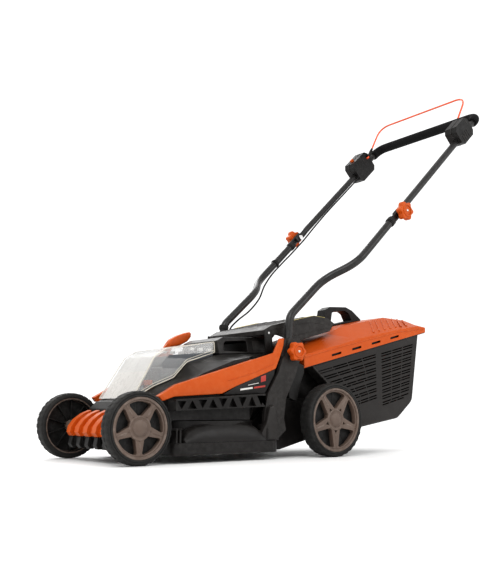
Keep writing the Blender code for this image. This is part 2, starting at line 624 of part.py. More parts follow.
def battery_cover():
    """Clear hinged cover over the battery bay, open underneath."""
    def taper(obj, at_low, at_high):
        for v in obj.data.vertices:
            share = (v.co.z - 0.15) / (0.29 - 0.15)
            v.co.y *= 1 + (at_high / at_low - 1) * share
        return obj
    outer = taper(extruded(COVER_TOP + COVER_HEM, -COVER_HALF_WIDTH, COVER_HALF_WIDTH), 0.084, 0.070)
    wall = COVER_WALL
    (x0, z0), (x1, z1), (x2, z2), (x3, z3) = COVER_TOP
    inside = ((x0 + 0.0045, z0 - 0.004), (x1 + 0.002, z1 - 0.0028), (x2 + 0.0006, z2 - wall),
              (x3 - wall, z3 - wall), (x3 - wall, 0.10), (x0 + 0.0045, 0.10))
    half = COVER_HALF_WIDTH - wall
    inner = taper(extruded(inside, -half, half), half, half - 0.014)
    node(cut(outer, inner), "battery_cover", CLEAR)


FLAP_TOP = ((0.396, 0.3245), (0.420, 0.338), (0.572, 0.374), (0.621, 0.371), (0.647, 0.358))
FLAP_HEM = ((0.630, 0.335), (0.500, 0.299), (0.440, 0.3135), (0.399, 0.3130))


def rear_flap():
    """Hooded flap over the discharge opening, hung on a pin, and the pin itself."""
    outer = extruded(FLAP_TOP + FLAP_HEM, -FLAP_HALF_WIDTH, FLAP_HALF_WIDTH)
    inside = ((0.430, 0.3355), (0.572, 0.3700), (0.618, 0.3675), (0.639, 0.356), (0.60, 0.20), (0.430, 0.20))
    inner = extruded(inside, -FLAP_HALF_WIDTH + 0.003, FLAP_HALF_WIDTH - 0.003)
    bore = cylinder(FLAP_PIN, 0.003 + GAP, -0.14, 0.14, steps=12)
    node(cut(outer, inner, bore), "rear_flap", BLACK)
    node(smooth(cylinder(FLAP_PIN, 0.003, -0.134, 0.134, steps=12)), "flap_pin", STEEL)


# ---------------------------------------------------------------- grass catcher

BASKET = ((0.533, 0.2335), (0.650, 0.138), (0.690, 0.073), (0.857, 0.0995), (0.919, 0.147), (0.954, 0.3395))


def basket():
    """Slotted grass basket, open at the front and under the lid."""
    half = CATCHER_HALF_WIDTH
    outer = extruded(BASKET, -half, half)
    wall = CATCHER_WALL
    inside = ((0.500, 0.2600 - wall), (0.500, 0.2530), (0.6525, 0.1415), (0.6925, 0.0765), (0.8560, 0.1027),
              (0.9165, 0.1485), (0.9508, 0.3500), (0.80, 0.40), (0.50, 0.40))
    inner = extruded(inside, -half + wall, half - wall)
    mouth = extruded(((0.48, 0.26), (0.62, 0.135), (0.672, 0.135), (0.56, 0.262)), -0.118, 0.118)
    made = cut(outer, inner, mouth)
    start, end = BASKET[0], BASKET[-1]
    slots = []
    for row in range(7):
        for x_low, x_high in ((0.716, 0.782), (0.802, 0.912)):
            drop = 0.030 + 0.026 * row
            z_low = line_z(x_low, start, end) - drop
            z_high = line_z(x_high, start, end) - drop
            shape = ((x_low, z_low), (x_high, z_high), (x_high, z_high + 0.008), (x_low, z_low + 0.008))
            if z_low > 0.118:
                slots.append(extruded(shape, -half - 0.01, half + 0.01))
    slotted = cut(made, *slots)
    node(slotted, "catcher_basket", BLACK)


# lid: x, rim, flange top, half-width on top, top
LID_STATIONS = (
    (0.500, 0.2270, 0.262, 0.120, 0.272),
    (0.531, 0.2345, 0.270, 0.115, 0.290),
    (0.640, 0.2615, 0.298, 0.102, 0.330),
    (0.700, 0.2765, 0.314, 0.100, 0.355),
    (0.873, 0.3200, 0.352, 0.100, 0.392),
    (0.955, 0.3410, 0.366, 0.108, 0.388),
    (0.988, 0.3490, 0.364, 0.122, 0.376),
)


def catcher_lid():
    """Lid with a hipped roof, open underneath, and its arched handle."""
    def ring(x, rim, flange, half_top, top, inset):
        half = CATCHER_HALF_WIDTH + 0.003 - inset
        low = rim - (0.05 if inset else 0)
        right = [(x, half, low), (x, half, flange - inset * 0.4), (x, half_top - inset * 0.5, top - inset)]
        return right + [(x, -y, z) for x, y, z in reversed(right)]
    outer = loft([ring(*station, 0) for station in LID_STATIONS])
    wall = CATCHER_WALL
    first, *middle, last = LID_STATIONS
    inner_stations = [(first[0] + wall, *first[1:])] + middle + [(last[0] - wall, *last[1:])]
    inner = loft([ring(*station, wall) for station in inner_stations])
    lid = cut(outer, inner)
    hem = extruded(((0.50, 0.10), (0.50, 0.2275), (1.0, 0.3525), (1.0, 0.10)), -0.2, 0.2)
    slots = []
    for i in range(4):
        x = 0.600 + 0.078 * i
        z = line_z(x, (0.500, 0.2270), (0.988, 0.3490)) + 0.010
        for side in (-1, 1):
            y = mirrored(CATCHER_HALF_WIDTH - 0.006, CATCHER_HALF_WIDTH + 0.01, side)
            slot = ((x, z), (x + 0.036, z + 0.009), (x + 0.036, z + 0.015), (x, z + 0.006))
            slots.append(extruded(slot, *y))
    node(cut(lid, hem, *slots), "catcher_lid", ORANGE)
    arch = extruded(((0.704, 0.3585), (0.716, 0.412), (0.734, 0.422), (0.800, 0.426), (0.824, 0.418),
                     (0.862, 0.3925), (0.862, 0.3882)), -0.018, 0.018)
    under = extruded(((0.700, 0.30), (0.700, 0.3553), (0.873, 0.3923), (0.873, 0.30)), -0.06, 0.06)
    gap = extruded(((0.735, 0.3685), (0.742, 0.404), (0.750, 0.410), (0.796, 0.414), (0.810, 0.408),
                    (0.822, 0.3875)), -0.06, 0.06)
    node(cut(arch, under, gap), "catcher_handle", BLACK)


# ---------------------------------------------------------------- handle

def flattened(obj, pivot, spread, side, outward):
    """Press a tube's end into a flat tongue on one side of its centre plane, round the pivot."""
    centre = Vector((pivot[0], pivot[1]))
    for v in obj.data.vertices:
        distance = (Vector((v.co.x, v.co.z)) - centre).length
        share = min(max((0.046 - distance) / 0.018, 0), 1)
        offset = (v.co.y - side * spread)
        v.co.y = side * spread + offset * (1 - share * 0.60) + side * outward * 0.0052 * share
    return obj


def dense(start, end, count):
    start, end = Vector(start), Vector(end)
    return [start.lerp(end, i / count) for i in range(count + 1)]


def lower_tube(name, side):
    y, wide = side * LOWER_HALF_SPREAD, side * UPPER_HALF_SPREAD
    px, pz = LOWER_PIVOT
    mid = Vector((MID_PIVOT[0], wide, MID_PIVOT[1]))
    along = Vector((MID_DIRECTION[0], 0, MID_DIRECTION[1]))
    top = mid + along * 0.016
    corner = Vector((0.648, wide, mid.z - (mid.x - 0.648) * along.z / along.x))
    route = [(px, y, pz - 0.016), (px, y, pz + 0.012), (px + 0.009, y, pz + 0.097), (0.584, y, 0.472), corner]
    path = rounded(route + [mid - along * 0.050], (0.03, 0.045, 0.10, 0.10), 5)
    path += dense(mid - along * 0.046, top, 8)
    bar = flattened(tube(path, LOWER_TUBE_RADIUS, 3), MID_PIVOT, UPPER_HALF_SPREAD, side, 1)
    mid_hole = cylinder(MID_PIVOT, BOLT_RADIUS + GAP, *mirrored(0.19, 0.25, side), steps=12)
    low_hole = cylinder(LOWER_PIVOT, BOLT_RADIUS + GAP, *mirrored(0.12, 0.18, side), steps=12)
    node(smooth(cut(bar, mid_hole, low_hole)), f"lower_tube_{name}", PAINT)


def handle_path(start_offset):
    """Half of the upper handle's centre line, from the right mid joint to the middle of the grip."""
    along = Vector((MID_DIRECTION[0], 0, MID_DIRECTION[1]))
    mid = Vector((MID_PIVOT[0], UPPER_HALF_SPREAD, MID_PIVOT[1]))
    start = dense(mid + along * start_offset, mid + along * 0.046, 8)
    grip = Vector((GRIP_AT[0], UPPER_HALF_SPREAD, GRIP_AT[1]))
    knee = mid + along * ((grip.x - mid.x - 0.055) / along.x)
    centre = Vector((GRIP_AT[0], 0, GRIP_AT[1]))
    bend = rounded([start[-1] + along * 0.004, knee, grip, centre], (0.10, 0.052), 7)
    return start, bend


def mirror_path(path):
    return [Vector((p.x, -p.y, p.z)) for p in path]


def upper_handle():
    start, bend = handle_path(-0.016)
    half = start + bend
    whole = mirror_path(half) + list(reversed(half[:-1]))
    bar = tube(whole, UPPER_TUBE_RADIUS, 3)
    for side in (-1, 1):
        for v in bar.data.vertices:
            if v.co.y * side > 0.15:
                distance = math.hypot(v.co.x - MID_PIVOT[0], v.co.z - MID_PIVOT[1])
                share = min(max((0.046 - distance) / 0.018, 0), 1)
                offset = v.co.y - side * UPPER_HALF_SPREAD
                v.co.y = side * (UPPER_HALF_SPREAD - 0.0052 * share) + offset * (1 - share * 0.60)
    holes = [cylinder(MID_PIVOT, BOLT_RADIUS + GAP, *mirrored(0.19, 0.25, side), steps=12)
             for side in (-1, 1)]
    node(smooth(cut(bar, *holes)), "upper_tube", PAINT)
    length = len(bend) - 4
    grip_half = bend[-length:]
    grip_path = mirror_path(grip_half) + list(reversed(grip_half[:-1]))
    sleeve = tube(grip_path, GRIP_RADIUS, 3)
    first, second = grip_path[0], grip_path[1]
    reach = (first - second).normalized() * 0.02
    near_end = first + reach
    far_end = Vector((near_end.x, -near_end.y, near_end.z))
    core = tube([near_end] + grip_path + [far_end], UPPER_TUBE_RADIUS + GAP, 3)
    node(smooth(cut(sleeve, core)), "foam_grip", FOAM)


def tube_frame(at):
    """Matrix whose X runs up the upper handle's tube, from the (x, z) nearest to at."""
    along = Vector((MID_DIRECTION[0], 0, MID_DIRECTION[1]))
    return Matrix(((along.x, 0, -along.z, at[0]), (0, 1, 0, 0), (along.z, 0, along.x, at[1]), (0, 0, 0, 1)))


def on_tube(distance):
    return (MID_PIVOT[0] + MID_DIRECTION[0] * distance, MID_PIVOT[1] + MID_DIRECTION[1] * distance)


def housing(low, high, outline_low, outline_high, side):
    """Box along the tube, from low to high metres up it, with a bore for the tube."""
    chamfer = 0.012
    start, end = outline_low, outline_high
    outline = ((low, start + chamfer), (low + chamfer, start), (high - chamfer, start),
               (high, start + chamfer), (high, end - chamfer), (high - chamfer, end),
               (low + chamfer, end), (low, end - chamfer))
    body = extruded(outline, *mirrored(0.1962, 0.2400, side))
    bm = bmesh.new()
    bm.from_mesh(body.data)
    bm.transform(tube_frame(MID_PIVOT))
    bm.to_mesh(body.data)
    bm.free()
    straight = tube([Vector((*on_tube(d), 0)).xzy + Vector((0, side * UPPER_HALF_SPREAD, 0))
                     for d in (low - 0.02, high + 0.02)], UPPER_TUBE_RADIUS + GAP, 3)
    return cut(body, straight)


SWITCH_SPAN = (0.372, 0.470)
PIVOT_SPAN = (0.388, 0.470)
BUTTON_AT = 0.405


def control_boxes():
    pivot_hole = [cylinder(BAIL_PIVOT, BAIL_RADIUS + GAP, *mirrored(0.18, 0.206, side), steps=12)
                  for side in (-1, 1)]
    near = cut(housing(*PIVOT_SPAN, -0.018, 0.046, -1), pivot_hole[0])
    node(near, "pivot_box", BLACK)
    far = housing(*SWITCH_SPAN, -0.030, 0.046, 1)
    x, z = on_tube(BUTTON_AT)
    nx, nz = -MID_DIRECTION[1], MID_DIRECTION[0]
    socket = cylinder((0, 0), 0.0065 + GAP, 0.0330, 0.060, "Z", 16)
    button = cylinder((0, 0), 0.0065, 0.0380, 0.0540, "Z", 16)
    place = Matrix(((nz, 0, nx, x), (0, 1, 0, UPPER_HALF_SPREAD), (-nx, 0, nz, z), (0, 0, 0, 1)))
    for piece in (socket, button):
        piece.data.transform(place)
    node(cut(far, pivot_hole[1], socket), "switch_box", BLACK)
    node(smooth(button), "lock_button", ORANGE)


def bail():
    (px, pz), (tx, tz) = BAIL_PIVOT, BAIL_TOP
    half = [(px, 0.204, pz), (px, BAIL_HALF_WIDTH, pz), (tx - 0.004, BAIL_HALF_WIDTH, tz - 0.008),
            (tx, BAIL_HALF_WIDTH - 0.016, tz)]
    route = [(x, -y, z) for x, y, z in half] + list(reversed(half))
    path = rounded(route, (0.006, 0.02, 0.012, 0.012, 0.02, 0.006), 4)
    node(smooth(tube(path, BAIL_RADIUS, 2)), "bail", ORANGE_WIRE)


def knob(name, pivot, inner_y, radius, thickness, side):
    """Lobed wing knob with a blind hole for its bolt's end."""
    outline = []
    steps = 48
    for i in range(steps):
        a = 2 * math.pi * i / steps
        r = radius * (0.89 + 0.11 * math.cos(6 * a))
        outline.append((pivot[0] + r * math.cos(a), pivot[1] + r * math.sin(a)))
    wings = extruded(outline, *mirrored(inner_y + 0.004, inner_y + thickness, side))
    boss = cylinder(pivot, radius * 0.55, *mirrored(inner_y, inner_y + thickness + 0.003, side), steps=20)
    hole = cylinder(pivot, BOLT_RADIUS + GAP, *mirrored(inner_y - 0.01, inner_y + 0.013, side), steps=12)
    node(smooth(cut(join(wings, boss), hole)), name, ORANGE)


def bolt(name, pivot, head_y, end_y, side):
    head = cylinder(pivot, 0.007, *mirrored(head_y, head_y + 0.0045, side), steps=16)
    shank = cylinder(pivot, BOLT_RADIUS, *mirrored(head_y + 0.002, end_y, side), steps=12)
    node(smooth(join(head, shank)), name, STEEL)


def clamps_and_knobs():
    for name, side in SIDES:
        knob(f"lower_knob_{name}", LOWER_PIVOT, WEB_OUT + GAP, LOWER_KNOB_RADIUS, 0.024, side)
        bolt(f"lower_bolt_{name}", LOWER_PIVOT, 0.1305, WEB_OUT + 0.012, side)
        knob(f"mid_knob_{name}", MID_PIVOT, 0.2290, MID_KNOB_RADIUS, 0.024, side)
        bolt(f"mid_bolt_{name}", MID_PIVOT, 0.2030, 0.2290 + 0.011, side)


# ---------------------------------------------------------------- cable

CABLE_UPPER = ((1.0950, 0.2050, 0.9310), (1.0700, 0.2045, 0.9110), (1.0000, 0.2040, 0.8450),
               (0.9400, 0.2040, 0.7880), (0.8800, 0.2045, 0.7270), (0.8340, 0.2045, 0.6780))
CABLE_LOWER = ((0.8300, 0.2045, 0.6740), (0.8050, 0.2040, 0.6500), (0.7720, 0.2030, 0.6190),
               (0.7300, 0.2010, 0.5820), (0.6850, 0.1950, 0.5420), (0.6450, 0.1830, 0.5000),
               (0.6150, 0.1720, 0.4560), (0.5700, 0.1620, 0.4150), (0.5250, 0.1540, 0.3860),
               (0.4960, 0.1490, 0.3640), (0.4850, 0.1470, 0.3500))
CABLE_DECK = ((0.4842, 0.1468, 0.3470), (0.4800, 0.1430, 0.3350), (0.4730, 0.1360, 0.3190),
              (0.4600, 0.1310, 0.3070), (0.4445, 0.1310, 0.3010))
GLAND = (0.444, 0.1310)


def cable():
    for name, route in (("upper", CABLE_UPPER), ("lower", CABLE_LOWER), ("deck", CABLE_DECK)):
        node(smooth(tube(smooth_path(route, 3), CABLE_RADIUS, 2)), f"cable_{name}", CABLE)
    gland = cylinder(GLAND, 0.0045, 0.2690, 0.2983, "Z", 16)
    node(smooth(gland), "cable_gland", BLACK)


for part_name, part_side in SIDES:
    side_strip(part_name, part_side)
    side_rail(part_name, part_side)
    side_web(part_name, part_side)
    lower_tube(part_name, part_side)
deck_housing()
body_shell()
front_end()
carry_handle()
battery_packs()
safety_key()
motor_and_blade()
running_gear()
height_lever()
battery_cover()
rear_flap()
basket()
catcher_lid()
upper_handle()
control_boxes()
bail()
clamps_and_knobs()
cable()
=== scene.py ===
import json
import math

import bmesh
import bpy
from mathutils import Matrix, Vector


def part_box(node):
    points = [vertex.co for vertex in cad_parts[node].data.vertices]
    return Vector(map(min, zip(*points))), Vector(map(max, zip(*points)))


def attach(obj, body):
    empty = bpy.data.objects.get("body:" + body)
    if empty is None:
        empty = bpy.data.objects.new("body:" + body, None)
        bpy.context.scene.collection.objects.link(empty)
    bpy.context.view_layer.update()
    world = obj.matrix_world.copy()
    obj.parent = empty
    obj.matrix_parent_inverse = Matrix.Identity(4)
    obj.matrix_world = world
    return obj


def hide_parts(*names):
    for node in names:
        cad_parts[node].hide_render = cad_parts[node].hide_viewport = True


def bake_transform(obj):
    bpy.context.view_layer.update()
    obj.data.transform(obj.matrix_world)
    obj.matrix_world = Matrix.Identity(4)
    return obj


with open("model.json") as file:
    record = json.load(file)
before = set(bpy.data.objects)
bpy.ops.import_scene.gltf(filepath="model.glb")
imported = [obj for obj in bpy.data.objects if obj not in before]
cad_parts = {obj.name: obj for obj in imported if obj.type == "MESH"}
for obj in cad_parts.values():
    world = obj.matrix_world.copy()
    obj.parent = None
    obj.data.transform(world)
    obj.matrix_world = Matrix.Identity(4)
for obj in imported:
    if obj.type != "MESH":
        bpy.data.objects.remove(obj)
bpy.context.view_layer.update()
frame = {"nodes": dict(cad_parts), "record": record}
NODES = frame["nodes"]
BODY = {node: body for body, names in frame["record"]["behaviour"]["bodies"].items() for node in names}
FORWARD = 0.5771              # the front axle stands this far ahead of the frame's origin
SIDES = (("left", -1), ("right", 1))
DUST_COLOUR = (0.34, 0.31, 0.27)
BUMP_STRENGTH, GRAIN_STRENGTH = 0.25, 0.6

# The machine's own sizes, in metres, with x from the front axle. Points are (x, z).
FRONT_AXLE, FRONT_RADIUS, FRONT_HALF_TRACK, FRONT_WIDTH = (0, 0.0813), 0.0813, 0.190, 0.036
REAR_AXLE, REAR_RADIUS, REAR_HALF_TRACK, REAR_WIDTH = (0.567, 0.0946), 0.0946, 0.213, 0.042
TYRE_THICKNESS = 0.0125
SPOKES = 5
TREAD_LUGS = 32
COVER_HALF_WIDTH, COVER_TOP_HALF_WIDTH = 0.084, 0.070
DECK_FLANGE = 0.0464
LEVER_PIVOT = (0.236, 0.268)
LOWER_PIVOT, MID_PIVOT = (0.456, 0.268), (0.820, 0.683)
ALONG_HANDLE = Vector((0.720, 0, 0.694)).normalized()
LOWER_HALF_SPREAD, UPPER_HALF_SPREAD = 0.1475, 0.218
LOWER_TUBE_RADIUS, UPPER_TUBE_RADIUS, GRIP_RADIUS = 0.011, 0.010, 0.0155
GRIP_AT = (1.220, 1.068)
BAIL_RADIUS, CABLE_RADIUS = 0.003, 0.0025
LID_HALF_WIDTH = 0.163


# ---------------------------------------------------------------- materials

def surface(name, colour, rough=0.45, vary=0.10, rough_vary=0.12, grain=1500.0, grain_depth=0.00006,
            wear=None, wear_share=0.5, dust=0.0, metallic=0.0, coat=0.0, alpha=None, stretch=(1, 1, 1),
            waves=0.0001, specular=0.5):
    """Moulded, painted or metal surface: tone and gloss that wander, worn edges, dust and fine grain."""
    made = bpy.data.materials.new(name)
    made.use_nodes = True
    tree = made.node_tree
    nodes, links = tree.nodes, tree.links
    shader = nodes["Principled BSDF"]
    coord = nodes.new("ShaderNodeTexCoord")
    mapping = nodes.new("ShaderNodeMapping")
    mapping.inputs["Scale"].default_value = stretch
    links.new(coord.outputs["Object"], mapping.inputs["Vector"])
    geometry = nodes.new("ShaderNodeNewGeometry")

    def noise(scale, detail=4.0, rough_noise=0.55):
        made_noise = nodes.new("ShaderNodeTexNoise")
        made_noise.inputs["Scale"].default_value = scale
        made_noise.inputs["Detail"].default_value = detail
        made_noise.inputs["Roughness"].default_value = rough_noise
        links.new(mapping.outputs["Vector"], made_noise.inputs["Vector"])
        return made_noise.outputs["Fac"]

    def span(value, low, high, to_low, to_high):
        ranged = nodes.new("ShaderNodeMapRange")
        for socket, number in zip(("From Min", "From Max", "To Min", "To Max"), (low, high, to_low, to_high)):
            ranged.inputs[socket].default_value = number
        links.new(value, ranged.inputs["Value"])
        return ranged.outputs["Result"]

    def calc(operation, a, b):
        maths = nodes.new("ShaderNodeMath")
        maths.operation = operation
        for socket, value in zip(maths.inputs, (a, b)):
            if isinstance(value, (int, float)):
                socket.default_value = value
            else:
                links.new(value, socket)
        return maths.outputs["Value"]

    def mix(factor, a, b):
        mixed = nodes.new("ShaderNodeMix")
        mixed.data_type = "RGBA"
        links.new(factor, mixed.inputs["Factor"])
        for socket, value in ((mixed.inputs["A"], a), (mixed.inputs["B"], b)):
            if isinstance(value, tuple):
                socket.default_value = (*value, 1)
            else:
                links.new(value, socket)
        return mixed.outputs["Result"]

    dark = tuple(c * (1 - vary) for c in colour)
    light = tuple(min(c * (1 + vary), 1) for c in colour)
    tone = mix(span(noise(6.0, 6.0), 0.35, 0.65, 0, 1), dark, light)
    edge = span(geometry.outputs["Pointiness"], 0.505, 0.575, 0, 1)
    scuffs = span(noise(70.0, 6.0, 0.7), 0.42, 0.62, 0, 1)
    worn = calc("MULTIPLY", calc("MULTIPLY", edge, scuffs), wear_share)
    if wear:
        tone = mix(worn, tone, wear)
    if dust:
        up = nodes.new("ShaderNodeSeparateXYZ")
        links.new(geometry.outputs["Normal"], up.inputs["Vector"])
        facing_up = span(up.outputs["Z"], 0.3, 1, 0, dust)
        lying = calc("MULTIPLY", facing_up, span(noise(24.0, 5.0), 0.4, 0.7, 0.3, 1))
        tone = mix(lying, tone, DUST_COLOUR)
    links.new(tone, shader.inputs["Base Color"])
    uneven = span(noise(38.0, 5.0), 0.3, 0.7, rough - rough_vary / 2, rough + rough_vary / 2)
    links.new(calc("ADD", uneven, calc("MULTIPLY", worn, 0.15)), shader.inputs["Roughness"])
    wavy = nodes.new("ShaderNodeBump")
    wavy.inputs["Strength"].default_value = BUMP_STRENGTH
    wavy.inputs["Distance"].default_value = waves
    links.new(noise(45.0, 2.0), wavy.inputs["Height"])
    fine = nodes.new("ShaderNodeBump")
    fine.inputs["Strength"].default_value = GRAIN_STRENGTH
    fine.inputs["Distance"].default_value = grain_depth
    links.new(noise(grain, 3.0), fine.inputs["Height"])
    links.new(wavy.outputs["Normal"], fine.inputs["Normal"])
    links.new(fine.outputs["Normal"], shader.inputs["Normal"])
    shader.inputs["Metallic"].default_value = metallic
    shader.inputs["Specular IOR Level"].default_value = specular
    shader.inputs["Coat Weight"].default_value = coat
    shader.inputs["Coat Roughness"].default_value = 0.2
    if alpha is not None:
        rim = nodes.new("ShaderNodeLayerWeight")
        rim.inputs["Blend"].default_value = 0.35
        links.new(span(rim.outputs["Facing"], 0, 1, alpha, min(alpha + 0.45, 1)), shader.inputs["Alpha"])
    return made


ORANGE = (surface("orange_plastic", (0.440, 0.072, 0.0055), 0.40, 0.04, 0.08, wear=(0.56, 0.18, 0.06),
                  wear_share=0.22, waves=0.00005, specular=0.22), "orange_plastic")
DARK = (surface("dark_plastic", (0.0095, 0.0082, 0.0076), 0.36, 0.18, wear=(0.045, 0.043, 0.041), dust=0.025,
                specular=0.22), "dark_plastic")
BLACK = (surface("black_plastic", (0.0070, 0.0064, 0.0060), 0.42, 0.18, wear=(0.035, 0.034, 0.033),
                 dust=0.025, grain_depth=0.00008, specular=0.22), "black_plastic")
GREY = (surface("grey_plastic", (0.0165, 0.0142, 0.0130), 0.44, 0.14, wear=(0.060, 0.057, 0.054), dust=0.03,
                grain_depth=0.00008, specular=0.25), "dark_plastic")
HUB = (surface("hub_plastic", (0.108, 0.077, 0.061), 0.46, 0.10, wear=(0.24, 0.20, 0.175), wear_share=0.4,
               dust=0.05, specular=0.3), "hub_plastic")
RUBBER = (surface("tyre_rubber", (0.011, 0.0105, 0.010), 0.66, 0.25, grain=900.0, grain_depth=0.00012,
                  wear=(0.035, 0.034, 0.032), dust=0.05, specular=0.3), "tyre")
CLEAR = (surface("clear_cover", (0.66, 0.66, 0.65), 0.14, 0.05, 0.08, grain_depth=0.00002, alpha=0.16,
                 coat=0.3), "clear_cover")
HAZE = (surface("clear_front", (0.62, 0.58, 0.53), 0.26, 0.08, 0.10, grain_depth=0.00003, alpha=0.50,
                coat=0.1), "clear_cover")
# Pale, almost opaque finish for the lines on the clear cover's edges: a painted highlight of light caught in
# the thick edges.
COVER_EDGE_HIGHLIGHT = (surface("cover_edge_highlight", (0.66, 0.62, 0.52), 0.25, 0.05, 0.08, grain_depth=0.00003, alpha=0.8,
               coat=0.2), "clear_cover")
STEEL = (surface("steel", (0.50, 0.49, 0.48), 0.30, 0.08, 0.15, grain=500.0, metallic=1.0,
                 stretch=(1, 6, 1), wear=(0.8, 0.8, 0.8)), "steel")
PAINT = (surface("black_paint", (0.0090, 0.0082, 0.0078), 0.36, 0.15, 0.14, grain=900.0, grain_depth=0.00006,
                 wear=(0.06, 0.06, 0.06), dust=0.03, specular=0.4), "black_paint")
FOAM = (surface("foam", (0.008, 0.008, 0.0085), 0.88, 0.25, 0.08, grain=420.0, grain_depth=0.0005,
                waves=0.0005, specular=0.2), "foam")
WIRE = (surface("orange_wire", (0.66, 0.075, 0.010), 0.34, 0.06, wear=(0.5, 0.2, 0.12), wear_share=0.3,
                coat=0.2), "orange_wire")
CABLE = (surface("cable_sheath", (0.009, 0.009, 0.009), 0.48, 0.2, grain=700.0, specular=0.3), "cable_sheath")
PACK = (surface("battery_case", (0.052, 0.058, 0.066), 0.44, 0.10, wear=(0.12, 0.12, 0.12)), "battery_case")
LABEL = (surface("pale_label", (0.62, 0.61, 0.58), 0.42, 0.04), "battery_case")
RED = (surface("red_mark", (0.36, 0.022, 0.012), 0.35, 0.05), "orange_plastic")
YELLOW = (surface("yellow_line", (0.50, 0.40, 0.10), 0.45, 0.06), "battery_case")


# ---------------------------------------------------------------- shape helpers

def show(piece, name, body, finish):
    """Name the piece, give it its finish and let it ride its body."""
    piece.name = name
    piece.data.name = name
    piece.data.materials.clear()
    piece.data.materials.append(finish[0])
    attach(piece, body)
    return piece


def from_bmesh(bm, angle=35.0, shift=True):
    """An object from a bmesh whose x runs from the front axle; edges over the angle stay sharp."""
    if shift:
        bmesh.ops.translate(bm, verts=bm.verts, vec=(-FORWARD, 0, 0))
    bmesh.ops.recalc_face_normals(bm, faces=bm.faces)
    data = bpy.data.meshes.new("piece")
    bm.to_mesh(data)
    bm.free()
    data.shade_smooth()
    data.set_sharp_from_angle(angle=math.radians(angle))
    made = bpy.data.objects.new("piece", data)
    bpy.context.scene.collection.objects.link(made)
    return made


def to_bmesh(curve_object):
    """The curve's evaluated mesh as a bmesh; the curve is removed."""
    bpy.context.view_layer.update()
    graph = bpy.context.evaluated_depsgraph_get()
    data = bpy.data.meshes.new_from_object(curve_object.evaluated_get(graph))
    bm = bmesh.new()
    bm.from_mesh(data)
    bm.transform(curve_object.matrix_world)
    bmesh.ops.remove_doubles(bm, verts=bm.verts, dist=0.00001)
    bpy.data.meshes.remove(data)
    curve = curve_object.data
    bpy.data.objects.remove(curve_object)
    bpy.data.curves.remove(curve)
    return bm


def flat(outlines, low, high, bevel=0.0008):
    """Upright plate from an (x, z) outline, with any holes after it, between two y, with rounded edges."""
    data = bpy.data.curves.new("flat", "CURVE")
    data.dimensions = "2D"
    data.fill_mode = "BOTH"
    data.extrude = max((high - low) / 2 - bevel, 0.00001)
    data.bevel_depth = bevel
    data.offset = -bevel
    data.bevel_resolution = 2
    for outline in outlines:
        spline = data.splines.new("POLY")
        spline.points.add(len(outline) - 1)
        for point, (a, b) in zip(spline.points, outline):
            point.co = (a, b, 0, 1)
        spline.use_cyclic_u = True
    made = bpy.data.objects.new("flat", data)
    bpy.context.scene.collection.objects.link(made)
    made.rotation_euler = (math.pi / 2, 0, 0)
    made.location = (0, (low + high) / 2, 0)
    return to_bmesh(made)


def slab(outlines, low, high, side, bevel=0.0008):
    """Plate between two distances from the middle plane, on one side of it."""
    return flat(outlines, *sorted((side * low, side * high)), bevel)


def wire(points, radius, resolution=4, radii=None):
    """Round rod along the points; radii are shares of the radius at each point."""
    data = bpy.data.curves.new("wire", "CURVE")
    data.dimensions = "3D"
    data.bevel_depth = radius
    data.bevel_resolution = resolution
    data.use_fill_caps = True
    spline = data.splines.new("POLY")
    spline.points.add(len(points) - 1)
    for i, (point, place) in enumerate(zip(spline.points, points)):
        point.co = (*place, 1)
        point.radius = radii[i] if radii else 1
    made = bpy.data.objects.new("wire", data)
    bpy.context.scene.collection.objects.link(made)
    return to_bmesh(made)


def spun(profile, centre, side=1, steps=72):
    """Closed (radius, depth) profile turned about the Y axis through centre = (x, z)."""
    bm = bmesh.new()
    rings = []
    for i in range(steps):
        a = 2 * math.pi * i / steps
        rings.append([bm.verts.new((centre[0] + r * math.cos(a), side * d, centre[1] + r * math.sin(a)))
                      for r, d in profile])
    count = len(profile)
    for i in range(steps):
        one, two = rings[i], rings[(i + 1) % steps]
        for k in range(count):
            m = (k + 1) % count
            bm.faces.new((one[k], one[m], two[m], two[k]))
    bmesh.ops.remove_doubles(bm, verts=bm.verts, dist=0.00001)
    bmesh.ops.dissolve_degenerate(bm, edges=bm.edges, dist=0.000001)
    return bm


def loft(loops):
    """Closed shape through loops that all have the same number of points."""
    bm = bmesh.new()
    rings = [[bm.verts.new(p) for p in loop] for loop in loops]
    count = len(loops[0])
    for one, two in zip(rings, rings[1:]):
        for i in range(count):
            j = (i + 1) % count
            bm.faces.new((one[i], one[j], two[j], two[i]))
    bm.faces.new(rings[0])
    bm.faces.new(rings[-1][::-1])
    return bm


def block(x, y, z, bevel=0.0006):
    """Box between pairs of places, with rounded edges."""
    bm = bmesh.new()
    bmesh.ops.create_cube(bm, size=1)
    size = Vector((x[1] - x[0], abs(y[1] - y[0]), z[1] - z[0]))
    bm.transform(Matrix.Translation((sum(x) / 2, sum(y) / 2, sum(z) / 2)) @ Matrix.Diagonal((*size, 1)))
    if bevel:
        bmesh.ops.bevel(bm, geom=bm.edges[:], offset=bevel, segments=2, affect="EDGES", profile=0.5)
    return bm


def together(*parts):
    """Several shapes in one mesh."""
    whole = bmesh.new()
    for part in parts:
        data = bpy.data.meshes.new("part")
        part.to_mesh(data)
        part.free()
        whole.from_mesh(data)
        bpy.data.meshes.remove(data)
    return whole


def rounded(points, radii, steps=8):
    """The path with a curve of about each radius in place of each inner corner."""
    points = [Vector(p) for p in points]
    path = [points[0]]
    for before, corner, after, radius in zip(points, points[1:], points[2:], radii):
        back, ahead = (before - corner).normalized(), (after - corner).normalized()
        half = back.angle(ahead) / 2
        room = 0.49 * min((before - corner).length, (after - corner).length)
        cut = min(radius / math.tan(half), room)
        start, end = corner + back * cut, corner + ahead * cut
        for i in range(steps + 1):
            t = i / steps
            path.append(start * (1 - t) ** 2 + corner * 2 * t * (1 - t) + end * t ** 2)
    path.append(points[-1])
    return path


